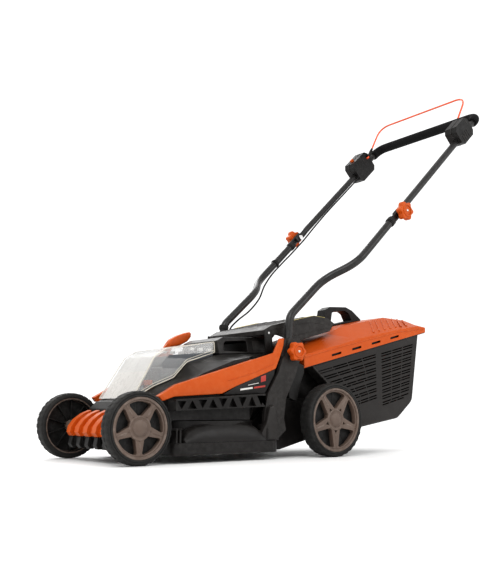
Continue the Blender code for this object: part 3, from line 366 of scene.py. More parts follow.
def smooth_path(points, per_span=6):
    """One smooth curve through every point."""
    points = [Vector(p) for p in points]
    ends = [2 * points[0] - points[1]] + points + [2 * points[-1] - points[-2]]
    path = []
    for a, b, c, d in zip(ends, ends[1:], ends[2:], ends[3:]):
        for i in range(per_span):
            t = i / per_span
            path.append(0.5 * (2 * b + (c - a) * t + (2 * a - 5 * b + 4 * c - d) * t * t
                               + (3 * b - a - 3 * c + d) * t ** 3))
    return path + [points[-1]]


def both_sides(make, name, body, finish, angle=35.0):
    """Make the same piece on the left and the right of the middle plane."""
    for label, side in SIDES:
        show(from_bmesh(make(side), angle), f"{name}_{label}", body, finish)


def at_y(path, y):
    """The path's points moved to one distance from the middle plane."""
    return [(p.x, y, p.z) for p in path]


def skin(name, finish, width):
    """The CAD node's own shape with its edges rounded."""
    data = NODES[name].data.copy()
    bm = bmesh.new()
    bm.from_mesh(data)
    bmesh.ops.remove_doubles(bm, verts=bm.verts, dist=0.000003)
    bmesh.ops.dissolve_limit(bm, angle_limit=math.radians(2), verts=bm.verts, edges=bm.edges)
    bm.to_mesh(data)
    bm.free()
    data.shade_smooth()
    made = bpy.data.objects.new("piece", data)
    bpy.context.scene.collection.objects.link(made)
    if width:
        bevel = made.modifiers.new("edges", "BEVEL")
        bevel.width = width
        bevel.segments = 2
        bevel.limit_method = "ANGLE"
        bevel.angle_limit = math.radians(28)
        bevel.use_clamp_overlap = True
        normals = made.modifiers.new("normals", "WEIGHTED_NORMAL")
        normals.keep_sharp = True
    else:
        data.set_sharp_from_angle(angle=math.radians(35))
    show(made, name + "_skin", BODY[name], finish)
    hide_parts(name)
    return made


# ---------------------------------------------------------------- wheels

def polar(radius, angle, centre):
    """Point at an angle on a circle."""
    return (centre[0] + radius * math.cos(angle), centre[1] + radius * math.sin(angle))


def ring_points(radius, low, high, centre, count):
    """Points from one angle to another on a circle."""
    return [polar(radius, low + (high - low) * i / count, centre) for i in range(count + 1)]


def turned_about(bm, angle, centre, side):
    """Turn a shape about Y, mirror it to its side and move it to a wheel's centre."""
    bm.transform(Matrix.Rotation(-angle, 4, "Y"))
    for v in bm.verts:
        v.co = Vector((v.co.x + centre[0], v.co.y * side, v.co.z + centre[1]))
    return bm


def tyre(centre, radius, inner, outer, side):
    rim = radius - TYRE_THICKNESS
    casing = spun(((rim, inner + 0.001), (rim + 0.003, inner), (radius - 0.006, inner + 0.0005),
                   (radius - 0.0022, inner + 0.003), (radius - 0.0006, inner + 0.008),
                   (radius - 0.0006, outer - 0.008), (radius - 0.0022, outer - 0.003),
                   (radius - 0.0050, outer - 0.0006), (radius - 0.0068, outer - 0.0006),
                   (radius - 0.0071, outer - 0.0020), (radius - 0.0080, outer - 0.0020),
                   (radius - 0.0083, outer - 0.0004), (rim + 0.0012, outer), (rim, outer - 0.0012)),
                  centre, side, 96)
    parts = [casing]
    for i in range(TREAD_LUGS):
        for shift, low, high in ((0, outer - 0.0150, outer - 0.0025), (0.5, inner + 0.0025, inner + 0.0150)):
            lug = block((radius - 0.004, radius), (low, high), (-0.0050, 0.0050), 0.0004)
            for v in lug.verts:
                v.co.z *= 1.15 - 0.3 * (v.co.y - low) / (high - low)
                if v.co.x > radius - 0.001:
                    reach = min(v.co.y - inner, outer - v.co.y)
                    v.co.x -= max(0.006 - reach, 0) * 0.35
            parts.append(turned_about(lug, 2 * math.pi * (i + shift) / TREAD_LUGS, centre, side))
    return together(*parts)


def arm_angle(i):
    return 2 * math.pi * (i + 0.5) / SPOKES + math.pi / 2


def spokes(centre, rim, outer, side):
    """Star of spokes: a disc with an opening between each two arms and a small one at each arm's root."""
    reach, tip, root = rim - 0.0105, 0.36 * rim, 0.305 * rim
    outlines = [ring_points(rim - 0.005, 0, 2 * math.pi * 59 / 60, centre, 59)]
    for i in range(SPOKES):
        middle = 2 * math.pi * i / SPOKES + math.pi / 2
        outlines.append([polar(reach - 0.004, middle - 0.505, centre),
                         *ring_points(reach, middle - 0.470, middle + 0.470, centre, 12),
                         polar(reach - 0.004, middle + 0.505, centre),
                         *ring_points(tip, middle + 0.13, middle - 0.13, centre, 2)])
        arm = arm_angle(i)
        outlines.append([polar(r, a, centre)
                         for r, a in ((root, arm - 0.24), (0.43 * rim, arm), (root, arm + 0.24))])
    return slab(outlines, outer - 0.0195, outer - 0.0048, side, 0.0012)


def arm_ridge(arm, centre, rim, outer, side):
    """Low roof along the middle of one spoke."""
    near, far, half = 0.46 * rim, rim - 0.0085, 0.0034
    face, top = outer - 0.0050, outer - 0.0036
    rows = (((near, -0.0005, face), (near, 0.0005, face), (near, 0, face)),
            ((near + 0.006, -half, face), (near + 0.006, half, face), (near + 0.006, 0, top)),
            ((far, -half * 0.7, face), (far, half * 0.7, face), (far, 0, top)))
    return loft([[(centre[0] + r * math.cos(arm) - w * math.sin(arm), side * d,
                   centre[1] + r * math.sin(arm) + w * math.cos(arm)) for r, w, d in row] for row in rows])


def wheel(name, centre, radius, half_track, width, side):
    body = "wheel_" + name
    rim = radius - TYRE_THICKNESS
    inner, outer = half_track - width, half_track
    show(from_bmesh(tyre(centre, radius, inner, outer, side)), f"tyre_{name}_skin", body, RUBBER)
    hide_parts(f"tyre_{name}")

    barrel = spun(((rim - 0.0003, inner + 0.003), (rim - 0.0003, outer - 0.0025),
                   (rim - 0.0012, outer - 0.0010), (rim - 0.0050, outer - 0.0008),
                   (rim - 0.0066, outer - 0.0022), (rim - 0.0072, outer - 0.0050),
                   (rim - 0.0072, outer - 0.0200), (rim - 0.0036, outer - 0.0210),
                   (rim - 0.0036, inner + 0.003)), centre, side, 96)
    boss = spun(((0.0, outer + 0.0010), (0.006, outer + 0.0006), (0.012, outer - 0.0004),
                 (0.0160, outer - 0.0018), (0.0182, outer - 0.0040), (0.0190, outer - 0.0075),
                 (0.0200, outer - 0.0078), (0.0205, outer - 0.0195), (0.0140, outer - 0.0200),
                 (0.0140, inner + 0.004), (0.0056, inner + 0.004), (0.0056, outer - 0.0100),
                 (0.0, outer - 0.0100)), centre, side, 48)
    collar = spun(((0.0198, outer - 0.0052), (0.0225, outer - 0.0046), (0.0240, outer - 0.0036),
                   (0.0262, outer - 0.0036), (0.0275, outer - 0.0050), (0.0275, outer - 0.0100),
                   (0.0198, outer - 0.0100)), centre, side, 60)
    star = spokes(centre, rim, outer, side)
    ridges = [arm_ridge(arm_angle(i), centre, rim, outer, side) for i in range(SPOKES)]
    show(from_bmesh(together(barrel, star, boss, collar, *ridges), 30), f"hub_{name}_skin", body, HUB)

    backing = spun(((0.0136, outer - 0.0196), (rim - 0.0070, outer - 0.0196), (rim - 0.0070, outer - 0.0215),
                    (0.0136, outer - 0.0215)), centre, side, 72)
    liner = spun(((rim - 0.0037, inner + 0.0026), (rim - 0.0037, outer - 0.0209),
                  (rim - 0.0052, outer - 0.0209), (rim - 0.0052, inner + 0.0026)), centre, side, 72)
    ribs = []
    for i in range(2 * SPOKES):
        rib = block((0.0135, rim - 0.003), (inner + 0.006, outer - 0.019), (-0.0011, 0.0011), 0.0003)
        ribs.append(turned_about(rib, math.pi * i / SPOKES + math.pi / 2, centre, side))
    show(from_bmesh(together(backing, liner, *ribs), 30), f"hub_{name}_inside", body, BLACK)
    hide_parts(f"hub_{name}")


for label, side in SIDES:
    wheel("front_" + label, FRONT_AXLE, FRONT_RADIUS, FRONT_HALF_TRACK, FRONT_WIDTH, side)
    wheel("rear_" + label, REAR_AXLE, REAR_RADIUS, REAR_HALF_TRACK, REAR_WIDTH, side)


# ---------------------------------------------------------------- plain skins

for skin_name, skin_finish, skin_width in (
        ("deck_housing", DARK, 0.0020), ("body_shell", DARK, 0.0030),
        ("side_strip_left", ORANGE, 0.0022), ("side_strip_right", ORANGE, 0.0022),
        ("side_rail_left", DARK, 0.0010), ("side_rail_right", DARK, 0.0010),
        ("side_web_left", GREY, 0.0022), ("side_web_right", GREY, 0.0022), ("front_bumper", ORANGE, 0.0024),
        ("front_comb", BLACK, 0.0010), ("nose", DARK, 0.0025), ("nose_keel", DARK, 0.0015),
        ("carry_handle", DARK, 0.0030), ("battery_left", PACK, 0.0030), ("battery_right", PACK, 0.0030),
        ("motor", BLACK, 0.0015), ("lever_quadrant", ORANGE, 0.0006), ("flap_pin", STEEL, 0.0004),
        ("lower_bolt_left", STEEL, 0.0004), ("lower_bolt_right", STEEL, 0.0004),
        ("cable_gland", BLACK, 0.0008),
        ("front_axle", STEEL, 0.0), ("rear_axle", STEEL, 0.0), ("link_rod", STEEL, 0.0),
        ("blade_shaft", STEEL, 0.0005), ("blade_hub", BLACK, 0.0006),
        ("blade", STEEL, 0.0006), ("blade_bolt", STEEL, 0.0006), ("switch_box", BLACK, 0.0035),
        ("pivot_box", BLACK, 0.0035), ("mid_bolt_left", STEEL, 0.0004), ("mid_bolt_right", STEEL, 0.0004),
        ("lock_button", ORANGE, 0.0010), ("rear_flap", GREY, 0.0030), ("catcher_lid", ORANGE, 0.0040),
        ("catcher_handle", BLACK, 0.0045), ("safety_key", ORANGE, 0.0014), ("battery_cover", CLEAR, 0.0020)):
    skin(skin_name, skin_finish, skin_width)


# ---------------------------------------------------------------- body details

def open_pin_holes(rod, wider):
    """Widen the rod's two round holes a little, so that the axles' studs turn in them freely."""
    low, high = (pick(v.co.x for v in rod.data.vertices) for pick in (min, max))
    for end in (low, high):
        ring = [v for v in rod.data.vertices if 0.003 < abs(v.co.x - end) < 0.012]
        middle = sum((v.co for v in ring), Vector()) / len(ring)
        for v in ring:
            away = Vector((v.co.x - middle.x, 0, v.co.z - middle.z))
            v.co += away.normalized() * wider


open_pin_holes(bpy.data.objects["link_rod_skin"], 0.0004)


def cover_y(z):
    """The cover's half width at a height; its sides lean in from z 0.15 to z 0.29."""
    lean = 1 - COVER_TOP_HALF_WIDTH / COVER_HALF_WIDTH
    return COVER_HALF_WIDTH * (1 - lean * (z - 0.15) / 0.14)


def cover_line(points, radii, radius, side, out=0.0006, lift=0.0):
    """Bead that follows a line on the cover's side: the cover's thick edge, drawn pale as a painted
    highlight.
    """
    path = rounded([(x, 0, z) for x, z in points], radii, 6)
    return wire([(p.x, side * (cover_y(p.z) + out), p.z + lift) for p in path], radius, 3)


HEM_LINE = ((0.2765, 0.2645), (0.190, 0.2368), (0.150, 0.1978), (0.095, 0.1768), (0.041, 0.1490))
TOP_LINE = ((0.0370, 0.1485), (0.100, 0.2492), (0.132, 0.2672), (0.2768, 0.2912))

# Pale lines on the cover's lower, top and rear edges, and one just inside the lower edge: painted highlight.
both_sides(lambda side: together(
    cover_line(HEM_LINE, (0.03, 0.03, 0.03), 0.0013, side),
    cover_line(HEM_LINE, (0.03, 0.03, 0.03), 0.0007, side, 0.0004, 0.0062),
    cover_line(TOP_LINE, (0.012, 0.02), 0.0010, side, -0.0008),
    wire([(0.2768, side * cover_y(0.266), 0.266), (0.2768, side * cover_y(0.290), 0.290)], 0.0012, 3)),
    "cover_edge_highlight", "cover", COVER_EDGE_HIGHLIGHT)


def cover_front():
    sheet = flat([((0.0415, 0.1480), (0.1020, 0.2455), (0.1330, 0.2628), (0.1340, 0.2612), (0.1035, 0.2442),
                   (0.0435, 0.1475))], -0.080, 0.080, 0.0003)
    for v in sheet.verts:
        v.co.y *= cover_y(v.co.z) / COVER_HALF_WIDTH
    return sheet


show(from_bmesh(cover_front()), "cover_haze", "cover", HAZE)
both_sides(lambda side: slab([((0.120, 0.188), (0.120, 0.230), (0.140, 0.252), (0.270, 0.264), (0.270, 0.256),
                               (0.196, 0.233), (0.156, 0.200))], 0.0722, 0.0745, side),
           "bay_panel", "chassis", PACK)
both_sides(lambda side: together(*[
    block((x, x + 0.011), sorted((side * 0.060, side * 0.0695)), (0.2665, 0.2735))
    for x in (0.206, 0.232, 0.258)]), "bay_clip", "chassis", LABEL)
for label, side in SIDES:
    pack_y = sorted((side * 0.0085, side * 0.0665))
    ridges = [block((x, x + 0.004), pack_y, (0.2222, 0.2245)) for x in (0.128, 0.138, 0.148, 0.158, 0.168)]
    show(from_bmesh(together(*ridges)), f"battery_ridges_{label}", "chassis", PACK)
    mark = block((0.178, 0.214), pack_y, (0.2222, 0.2230), 0.0002)
    show(from_bmesh(mark), f"battery_mark_{label}", "chassis", LABEL)
show(from_bmesh(spun(((0.0, 0.0598), (0.0048, 0.0598), (0.0052, 0.0606), (0.0048, 0.0612), (0.0, 0.0612)),
                     (0.092, 0.1850), -1, 32)), "key_grip", "key", ORANGE)
key_print = block((0.0862, 0.0978), (-0.0540, -0.0420), (0.1914, 0.1917), 0.0001)
show(from_bmesh(key_print), "key_label", "key", LABEL)


def lever():
    """Height lever: a leaf-shaped paddle on an arm with a round eye."""
    leaf = flat([((0.2535, 0.2880), (0.2555, 0.2990), (0.2640, 0.3100), (0.2860, 0.3215), (0.3140, 0.3312),
                  (0.3235, 0.3330), (0.3290, 0.3290), (0.3280, 0.3190), (0.3170, 0.3065), (0.2950, 0.2950),
                  (0.2700, 0.2885))], 0.1120, 0.1345, 0.0050)
    arm = flat([((0.2300, 0.2640), (0.2420, 0.2640), (0.2660, 0.2900), (0.2560, 0.2990), (0.2510, 0.2920))],
               0.1246, 0.1324, 0.0010)
    eye = spun(((0.0044, 0.1246), (0.0110, 0.1246), (0.0116, 0.1252), (0.0116, 0.1318), (0.0110, 0.1324),
                (0.0044, 0.1324)), LEVER_PIVOT, 1, 40)
    return together(leaf, arm, eye)


show(from_bmesh(lever(), 40), "lever_skin", "lever", ORANGE)
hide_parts("height_lever")

CREASE = rounded([(0.250, 0, 0.1900), (0.310, 0, 0.2060), (0.364, 0, 0.2240), (0.392, 0, 0.2360)],
                 (0.2, 0.2), 6)
both_sides(lambda side: wire(at_y(CREASE, side * 0.1683), 0.0008, 3), "strip_crease", "chassis", ORANGE)
both_sides(lambda side: together(
    slab([((0.236, 0.1560), (0.273, 0.1756), (0.316, 0.1926), (0.398, 0.2220), (0.396, 0.2085),
           (0.366, 0.1620), (0.352, 0.1606))], 0.1606, 0.1660, side),
    slab([((0.236, 0.1558), (0.273, 0.1754), (0.328, 0.1965), (0.328, 0.1592))], 0.1503, 0.1612, side)),
    "side_panel", "chassis", DARK)


def side_print(outline, side):
    """Thin plain patch on the side panel."""
    return slab([outline], 0.1658, 0.1664, side, 0.0001)


both_sides(lambda side: together(
    side_print(((0.312, 0.1795), (0.312, 0.1810), (0.345, 0.1870), (0.345, 0.1855)), side),
    side_print(((0.288, 0.1668), (0.288, 0.1712), (0.326, 0.1760), (0.326, 0.1716)), side)),
    "side_mark", "chassis", LABEL)
both_sides(lambda side: together(
    side_print(((0.330, 0.1720), (0.330, 0.1764), (0.366, 0.1812), (0.366, 0.1768)), side),
    side_print(((0.352, 0.1880), (0.352, 0.2020), (0.368, 0.2070), (0.368, 0.1920)), side)),
    "side_spot", "chassis", RED)


def deck_bulge(side):
    """Long rounded swelling on the deck's side, from stations of (x, height)."""
    loops = []
    for x, rise in ((0.118, 0.010), (0.132, 0.028), (0.155, 0.038), (0.190, 0.044), (0.243, 0.046),
                    (0.290, 0.044), (0.325, 0.036), (0.345, 0.024), (0.354, 0.010)):
        section = [(0.150, DECK_FLANGE), (0.1858, DECK_FLANGE)]
        for i in range(9):
            a = math.pi / 2 * i / 8
            section.append((0.1640 + 0.0218 * math.cos(a), 0.0470 + rise * math.sin(a)))
        section.append((0.150, 0.0470 + rise))
        loops.append([(x, side * y, z) for y, z in section])
    return loft(loops)


both_sides(deck_bulge, "deck_bulge", "chassis", DARK, 50)
both_sides(lambda side: together(*[
    slab([((x, DECK_FLANGE), (x + 0.0045, DECK_FLANGE), (x + 0.0045, 0.080), (x, 0.074))],
         0.150, 0.1835, side) for x in (0.094, 0.104, 0.358)]), "deck_rib", "chassis", DARK)
both_sides(lambda side: slab([((0.332, DECK_FLANGE), (0.342, 0.060), (0.360, 0.090), (0.370, 0.128),
                               (0.382, 0.132), (0.394, 0.100), (0.398, DECK_FLANGE))],
                             0.1640, 0.1815, side, 0.003),
           "web_foot", "chassis", GREY)
both_sides(lambda side: slab([((0.446, 0.150), (0.440, 0.200), (0.456, 0.2385), (0.484, 0.2390),
                               (0.4970, 0.2340), (0.4970, 0.2160), (0.484, 0.188), (0.470, 0.142))],
                             0.1460, 0.1662, side, 0.002),
           "wheel_fender", "chassis", BLACK)
both_sides(lambda side: slab([((0.4150, 0.2550), (0.4250, 0.2860), (0.4270, 0.3010), (0.4330, 0.3010),
                               (0.4330, 0.2800), (0.4280, 0.2550))], 0.1682, 0.1700, side, 0.0005),
           "bracket_slot", "chassis", BLACK)


def handle_plate(side):
    """Thin plate that leans in with the carry handle's side."""
    plate = flat([((0.392, 0.273), (0.430, 0.277), (0.430, 0.3005), (0.392, 0.2985))], 0.0, 0.0014, 0.0005)
    for v in plate.verts:
        v.co.y = side * (0.088 * (1 - 0.16 * (v.co.z - 0.26) / 0.05) + v.co.y)
    return plate


both_sides(handle_plate, "carry_plate", "chassis", GREY)
latch = block((0.332, 0.346), (0.000, 0.030), (0.2695, 0.2830), 0.003)
show(from_bmesh(latch), "inner_latch", "chassis", ORANGE)
carry_ribs = [block((0.2986, 0.3000), (-0.062 + 0.0155 * i, -0.058 + 0.0155 * i), (0.272, 0.286))
              for i in range(9)]
show(from_bmesh(together(*carry_ribs)), "carry_ribs", "chassis", DARK)
COMB_RIB = ((-0.0265, 0.0345), (-0.0275, 0.0570), (-0.0195, 0.0570), (-0.0195, 0.0345))
comb_ribs = [flat([COMB_RIB], y - 0.0016, y + 0.0016, 0.0003) for y in (-0.066, -0.022, 0.022, 0.066)]
show(from_bmesh(together(*comb_ribs)), "comb_ribs", "chassis", BLACK)


# ---------------------------------------------------------------- flap and catcher

FLAP_EDGE = rounded([(0.486, 0, 0.3537), (0.572, 0, 0.3741), (0.614, 0, 0.3716)], (0.06,), 6)
both_sides(lambda side: wire(at_y(FLAP_EDGE, side * 0.1215), 0.0012, 3), "flap_line", "flap", YELLOW)
both_sides(lambda side: together(
    wire([(0.424, side * 0.1250, 0.3290), (0.560, side * 0.1250, 0.3560), (0.604, side * 0.1250, 0.3530)],
         0.0010, 3),
    wire([(0.440, side * 0.1250, 0.3190), (0.505, side * 0.1250, 0.3165), (0.622, side * 0.1250, 0.3440)],
         0.0008, 3)), "flap_step", "flap", GREY)
flap_ribs = [wire([(0.440, y, 0.3427), (0.572, y, 0.3741)], 0.0011, 2) for y in (-0.08, -0.04, 0, 0.04, 0.08)]
show(from_bmesh(together(*flap_ribs)), "flap_ribs", "flap", GREY)

BASKET_HALF_WIDTH, BASKET_WALL = 0.160, 0.0028
BASKET_SIDE = ((0.533, 0.2335), (0.650, 0.138), (0.690, 0.073), (0.857, 0.0995), (0.919, 0.147),
               (0.954, 0.3395))
SLOT_SLOPE, SLOT_HEIGHT, SLOT_BREAK = 0.2435, 0.0032, 0.0035
SLOT_PAIR = 0.0068


def slot_row(z_at, x_at, x_low, x_high):
    """One broken row of thin slots, level with z_at at x_at and rising to the rear."""
    count = 4 if x_high - x_low > 0.15 else 3
    pitch = (x_high - x_low) / count
    row = []
    for k in range(count):
        a, b = x_low + pitch * k, x_low + pitch * (k + 1) - SLOT_BREAK
        za, zb = z_at + (a - x_at) * SLOT_SLOPE, z_at + (b - x_at) * SLOT_SLOPE
        row.append([(a, za), (b, zb), (b, zb + SLOT_HEIGHT), (a, za + SLOT_HEIGHT)])
    return row


def slots(side):
    """Double rows in one side wall, before and behind its plain band; the right wall's start further back."""
    made = []
    for row in range(7):
        for z in (0.238 - 0.019 * row, 0.238 - 0.019 * row - SLOT_PAIR):
            x_low = 0.533 + (0.2335 - z) * 1.225 + 0.022 if z > 0.138 else 0.676
            x_low += 0.045 if side > 0 else 0.0
            made += slot_row(z, 0.632, x_low, 0.777)
    for row in range(9):
        for z in (0.2950 - 0.0172 * row, 0.2950 - 0.0172 * row - SLOT_PAIR):
            x_high = 0.919 + (z - 0.147) * 0.182 - 0.010
            if z < 0.155:
                x_high -= 0.020
            made += slot_row(z, 0.876, 0.797, x_high)
    return made


def basket():
    """Slotted side walls, a wrapped floor and rear wall with bands, corner frames and rolled rims."""
    half, low_half = BASKET_HALF_WIDTH, BASKET_HALF_WIDTH - BASKET_WALL
    rim_line = rounded([(x, 0, z) for x, z in BASKET_SIDE], (0.012, 0.02, 0.030, 0.030), 6)
    outline = [(p.x, p.z) for p in rim_line]
    walls = [slab([outline, *slots(side)], low_half, half, side, 0.0004) for side in (-1, 1)]
    inner = [(0.9508, 0.3388), (0.9158, 0.1487), (0.8558, 0.1027), (0.6925, 0.0765), (0.6530, 0.1415)]
    outer_line = rounded([(x, 0, z) for x, z in BASKET_SIDE[1:]], (0.02, 0.030, 0.030), 6)
    inner_line = rounded([(x, 0, z) for x, z in inner], (0.027, 0.027, 0.017), 6)
    shell = flat([[(p.x, p.z) for p in outer_line + inner_line]], -low_half, low_half, 0.0003)
    frames = [slab([((0.5350, 0.2335), (0.6500, 0.1395), (0.6530, 0.1415), (0.5380, 0.2355))],
                   0.118, low_half, side, 0.0003) for side in (-1, 1)]
    rims = [wire(at_y(rim_line, side * (half - 0.0022)), 0.0030, 3) for side in (-1, 1)]
    bands = []
    for i in range(9):
        z = 0.170 + 0.0175 * i
        x = 0.919 + (z - 0.147) * 0.1818
        bands.append(block((x - 0.001, x + 0.0022), (-0.128, 0.128), (z, z + 0.0042)))
    liner = slab([((0.780, 0.112), (0.900, 0.138), (0.944, 0.3300), (0.780, 0.2880))], 0.1555, 0.1568, 1)
    return together(*walls, shell, *frames, *rims, *bands, liner)


show(from_bmesh(basket()), "basket_skin", "catcher", GREY)
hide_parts("catcher_basket")

# Stations of (x, flange's top, half width of the flat top, top's height).
LID = ((0.500, 0.262, 0.120, 0.272), (0.531, 0.270, 0.115, 0.290), (0.640, 0.298, 0.102, 0.330),
       (0.700, 0.314, 0.100, 0.355), (0.873, 0.352, 0.100, 0.392), (0.955, 0.366, 0.108, 0.388),
       (0.988, 0.364, 0.122, 0.376))


def lid_z(x, y):
    """Height of the lid's hip at a place between its flange and its flat top."""
    for one, two in zip(LID, LID[1:]):
        if one[0] <= x <= two[0]:
            t = (x - one[0]) / (two[0] - one[0])
            flange, half_top, top = (one[k] + (two[k] - one[k]) * t for k in (1, 2, 3))
            share = min(max((LID_HALF_WIDTH - y) / (LID_HALF_WIDTH - half_top), 0), 1)
            return flange + (top - flange) * share
    return LID[-1][3]


def lid_ribs(side):
    """Slanting ribs on the rear half of the lid's hip."""
    ribs = []
    for i in range(7):
        x = 0.776 + 0.0235 * i
        line = [(x + 0.034 * t, 0.152 - 0.046 * t) for t in (0, 0.25, 0.5, 0.75, 1)]
        ribs.append(wire([(a, side * b, lid_z(a, b) + 0.0003) for a, b in line], 0.0024, 3))
    return together(*ribs)


both_sides(lid_ribs, "lid_ribs", "catcher", ORANGE)
LID_EDGE = ((0.503, 0.2570), (0.640, 0.2915), (0.873, 0.3455), (0.986, 0.3600))
both_sides(lambda side: wire([(x, side * (LID_HALF_WIDTH + 0.0002), z) for x, z in LID_EDGE], 0.0014, 3),
           "lid_flange", "catcher", ORANGE)
both_sides(lambda side: together(
    wire([(0.503, side * 0.1608, 0.2290), (0.985, side * 0.1608, 0.3495)], 0.0022, 3),
    slab([((0.506, 0.2300), (0.980, 0.3485), (0.980, 0.3610), (0.506, 0.2560))], 0.1545, 0.1562, side)),
    "lid_rim", "catcher", BLACK)


# ---------------------------------------------------------------- handle

def dense(start, end, count):
    """Evenly spaced points along a straight stretch."""
    start, end = Vector(start), Vector(end)
    return [start.lerp(end, i / count) for i in range(count + 1)]


def pressed(bm, side, outward):
    """Flatten a tube's end round the middle joint, to one side of its centre plane."""
    for v in bm.verts:
        if v.co.y * side > 0.15:
            distance = math.hypot(v.co.x - MID_PIVOT[0], v.co.z - MID_PIVOT[1])
            share = min(max((0.046 - distance) / 0.018, 0), 1)
            offset = v.co.y - side * UPPER_HALF_SPREAD
            v.co.y = side * (UPPER_HALF_SPREAD + outward * 0.0052 * share) + offset * (1 - share * 0.60)
    return bm


def lower_tube(side):
    y, wide = side * LOWER_HALF_SPREAD, side * UPPER_HALF_SPREAD
    mid = Vector((MID_PIVOT[0], wide, MID_PIVOT[1]))
    corner = Vector((0.648, wide, mid.z - (mid.x - 0.648) * ALONG_HANDLE.z / ALONG_HANDLE.x))
    route = [(0.456, y, 0.252), (0.456, y, 0.280), (0.465, y, 0.365), (0.584, y, 0.472), corner]
    path = rounded(route + [mid - ALONG_HANDLE * 0.050], (0.03, 0.045, 0.10, 0.10), 12)
    path += dense(mid - ALONG_HANDLE * 0.046, mid + ALONG_HANDLE * 0.016, 14)
    return pressed(wire(path, LOWER_TUBE_RADIUS, 6), side, 1)


def mirror_path(half):
    """The half path on the right, led over from its mirror image on the left."""
    return [Vector((p.x, -p.y, p.z)) for p in half] + list(reversed(half[:-1]))


both_sides(lower_tube, "lower_tube_skin", "lower_handle", PAINT, 45)
for label, side in SIDES:
    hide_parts(f"lower_tube_{label}")
mid_right = Vector((MID_PIVOT[0], UPPER_HALF_SPREAD, MID_PIVOT[1]))
grip_corner = Vector((GRIP_AT[0], UPPER_HALF_SPREAD, GRIP_AT[1]))
grip_middle = Vector((GRIP_AT[0], 0, GRIP_AT[1]))
knee = mid_right + ALONG_HANDLE * ((GRIP_AT[0] - MID_PIVOT[0] - 0.055) / ALONG_HANDLE.x)
bend = rounded([mid_right + ALONG_HANDLE * 0.050, knee, grip_corner, grip_middle], (0.10, 0.052), 16)
straight = dense(mid_right - ALONG_HANDLE * 0.016, mid_right + ALONG_HANDLE * 0.046, 14)
handle = wire(mirror_path(straight + bend), UPPER_TUBE_RADIUS, 6)
for side in (-1, 1):
    pressed(handle, side, -1)
show(from_bmesh(handle, 45), "upper_tube_skin", "upper_handle", PAINT)
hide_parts("upper_tube")
grip_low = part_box("foam_grip")[0]
grip_path = mirror_path([p for p in bend if p.z > grip_low.z + UPPER_TUBE_RADIUS + 0.001])
grip_ends = [wire([end, end + (end - after).normalized() * 0.005], GRIP_RADIUS - 0.0007, 6)
             for end, after in ((grip_path[0], grip_path[1]), (grip_path[-1], grip_path[-2]))]
grip = together(wire(grip_path, GRIP_RADIUS, 8), *grip_ends)
show(from_bmesh(grip, 45), "foam_skin", "upper_handle", FOAM)
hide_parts("foam_grip")


def band(place, direction, radius, length):
    """Collar round a tube, with a raised middle."""
    place, direction = Vector(place), Vector(direction).normalized()
    return together(wire([place - direction * length / 2, place + direction * length / 2], radius, 5),
                    wire([place - direction * length * 0.28, place + direction * length * 0.28],
                         radius + 0.0012, 5))


for label, side in SIDES:
    place = (MID_PIVOT[0] - 0.0330, side * UPPER_HALF_SPREAD, MID_PIVOT[1] - 0.0318)
    collar = from_bmesh(band(place, ALONG_HANDLE, 0.0126, 0.020), 45)
    show(collar, f"tube_band_{label}", "lower_handle", BLACK)
cable_clips = together(band((0.4640, LOWER_HALF_SPREAD, 0.3560), (0.1, 0, 1), 0.0128, 0.014),
                       band((0.7180, UPPER_HALF_SPREAD, 0.5847), ALONG_HANDLE, 0.0124, 0.010))
show(from_bmesh(cable_clips, 45), "cable_clips", "lower_handle", BLACK)


def bail():
    half = [(1.1325, 0.204, 1.0145), (1.1325, 0.190, 1.0145), (1.200, 0.190, 1.140)]
    route = [(x, -y, z) for x, y, z in half] + list(reversed(half))
    return wire(rounded(route, (0.006, 0.045, 0.045, 0.006), 12), BAIL_RADIUS, 5)


show(from_bmesh(bail(), 45), "bail_skin", "bail_bar", WIRE)
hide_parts("bail")
both_sides(lambda side: wire([(1.1352, side * 0.1900, 1.0195), (1.1470, side * 0.1900, 1.0415),
                              (1.1530, side * 0.1900, 1.0526)], 0.0062, 4, (1.0, 0.85, 0.6)),
           "bail_boot", "bail_bar", BLACK, 45)


def on_tube(distance, off):
    """Point (x, z) at a distance up the upper tube and off to its upper side."""
    return (MID_PIVOT[0] + ALONG_HANDLE.x * distance - ALONG_HANDLE.z * off,
            MID_PIVOT[1] + ALONG_HANDLE.z * distance + ALONG_HANDLE.x * off)


def box_trim(side, low, high, foot, top):
    """Screws, seam and grip grooves of a bail box that runs from low to high along the upper tube."""
    screw = ((0.0, 0.2406), (0.0030, 0.2406), (0.0036, 0.2400), (0.0036, 0.2385), (0.0, 0.2385))
    parts = [spun(screw, on_tube(distance, off), side, 20)
             for distance, off in ((low + 0.014, 0.012), (high - 0.014, 0.030), (high - 0.014, -0.004))]
    seam = [(low + 0.012, foot), (high - 0.012, foot), (high + 0.0002, 0.0), (high + 0.0002, top - 0.012),
            (high - 0.012, top + 0.0002), (low + 0.012, top + 0.0002), (low - 0.0002, top - 0.012),
            (low - 0.0002, 0.0)]
    line = [(on_tube(*place)[0], side * (UPPER_HALF_SPREAD + 0.001), on_tube(*place)[1]) for place in seam]
    parts.append(wire([*line, line[0]], 0.0009, 2))
    for k in range(4):
        ends = [on_tube(low + 0.018 + 0.011 * k, off) for off in (-0.012, 0.014)]
        parts.append(wire([(x, side * 0.2402, z) for x, z in ends], 0.0013, 2))
    return together(*parts)


show(from_bmesh(box_trim(-1, 0.388, 0.470, -0.0182, 0.046)), "box_trim_near", "upper_handle", GREY)
show(from_bmesh(box_trim(1, 0.372, 0.470, -0.0302, 0.046)), "box_trim_far", "upper_handle", GREY)


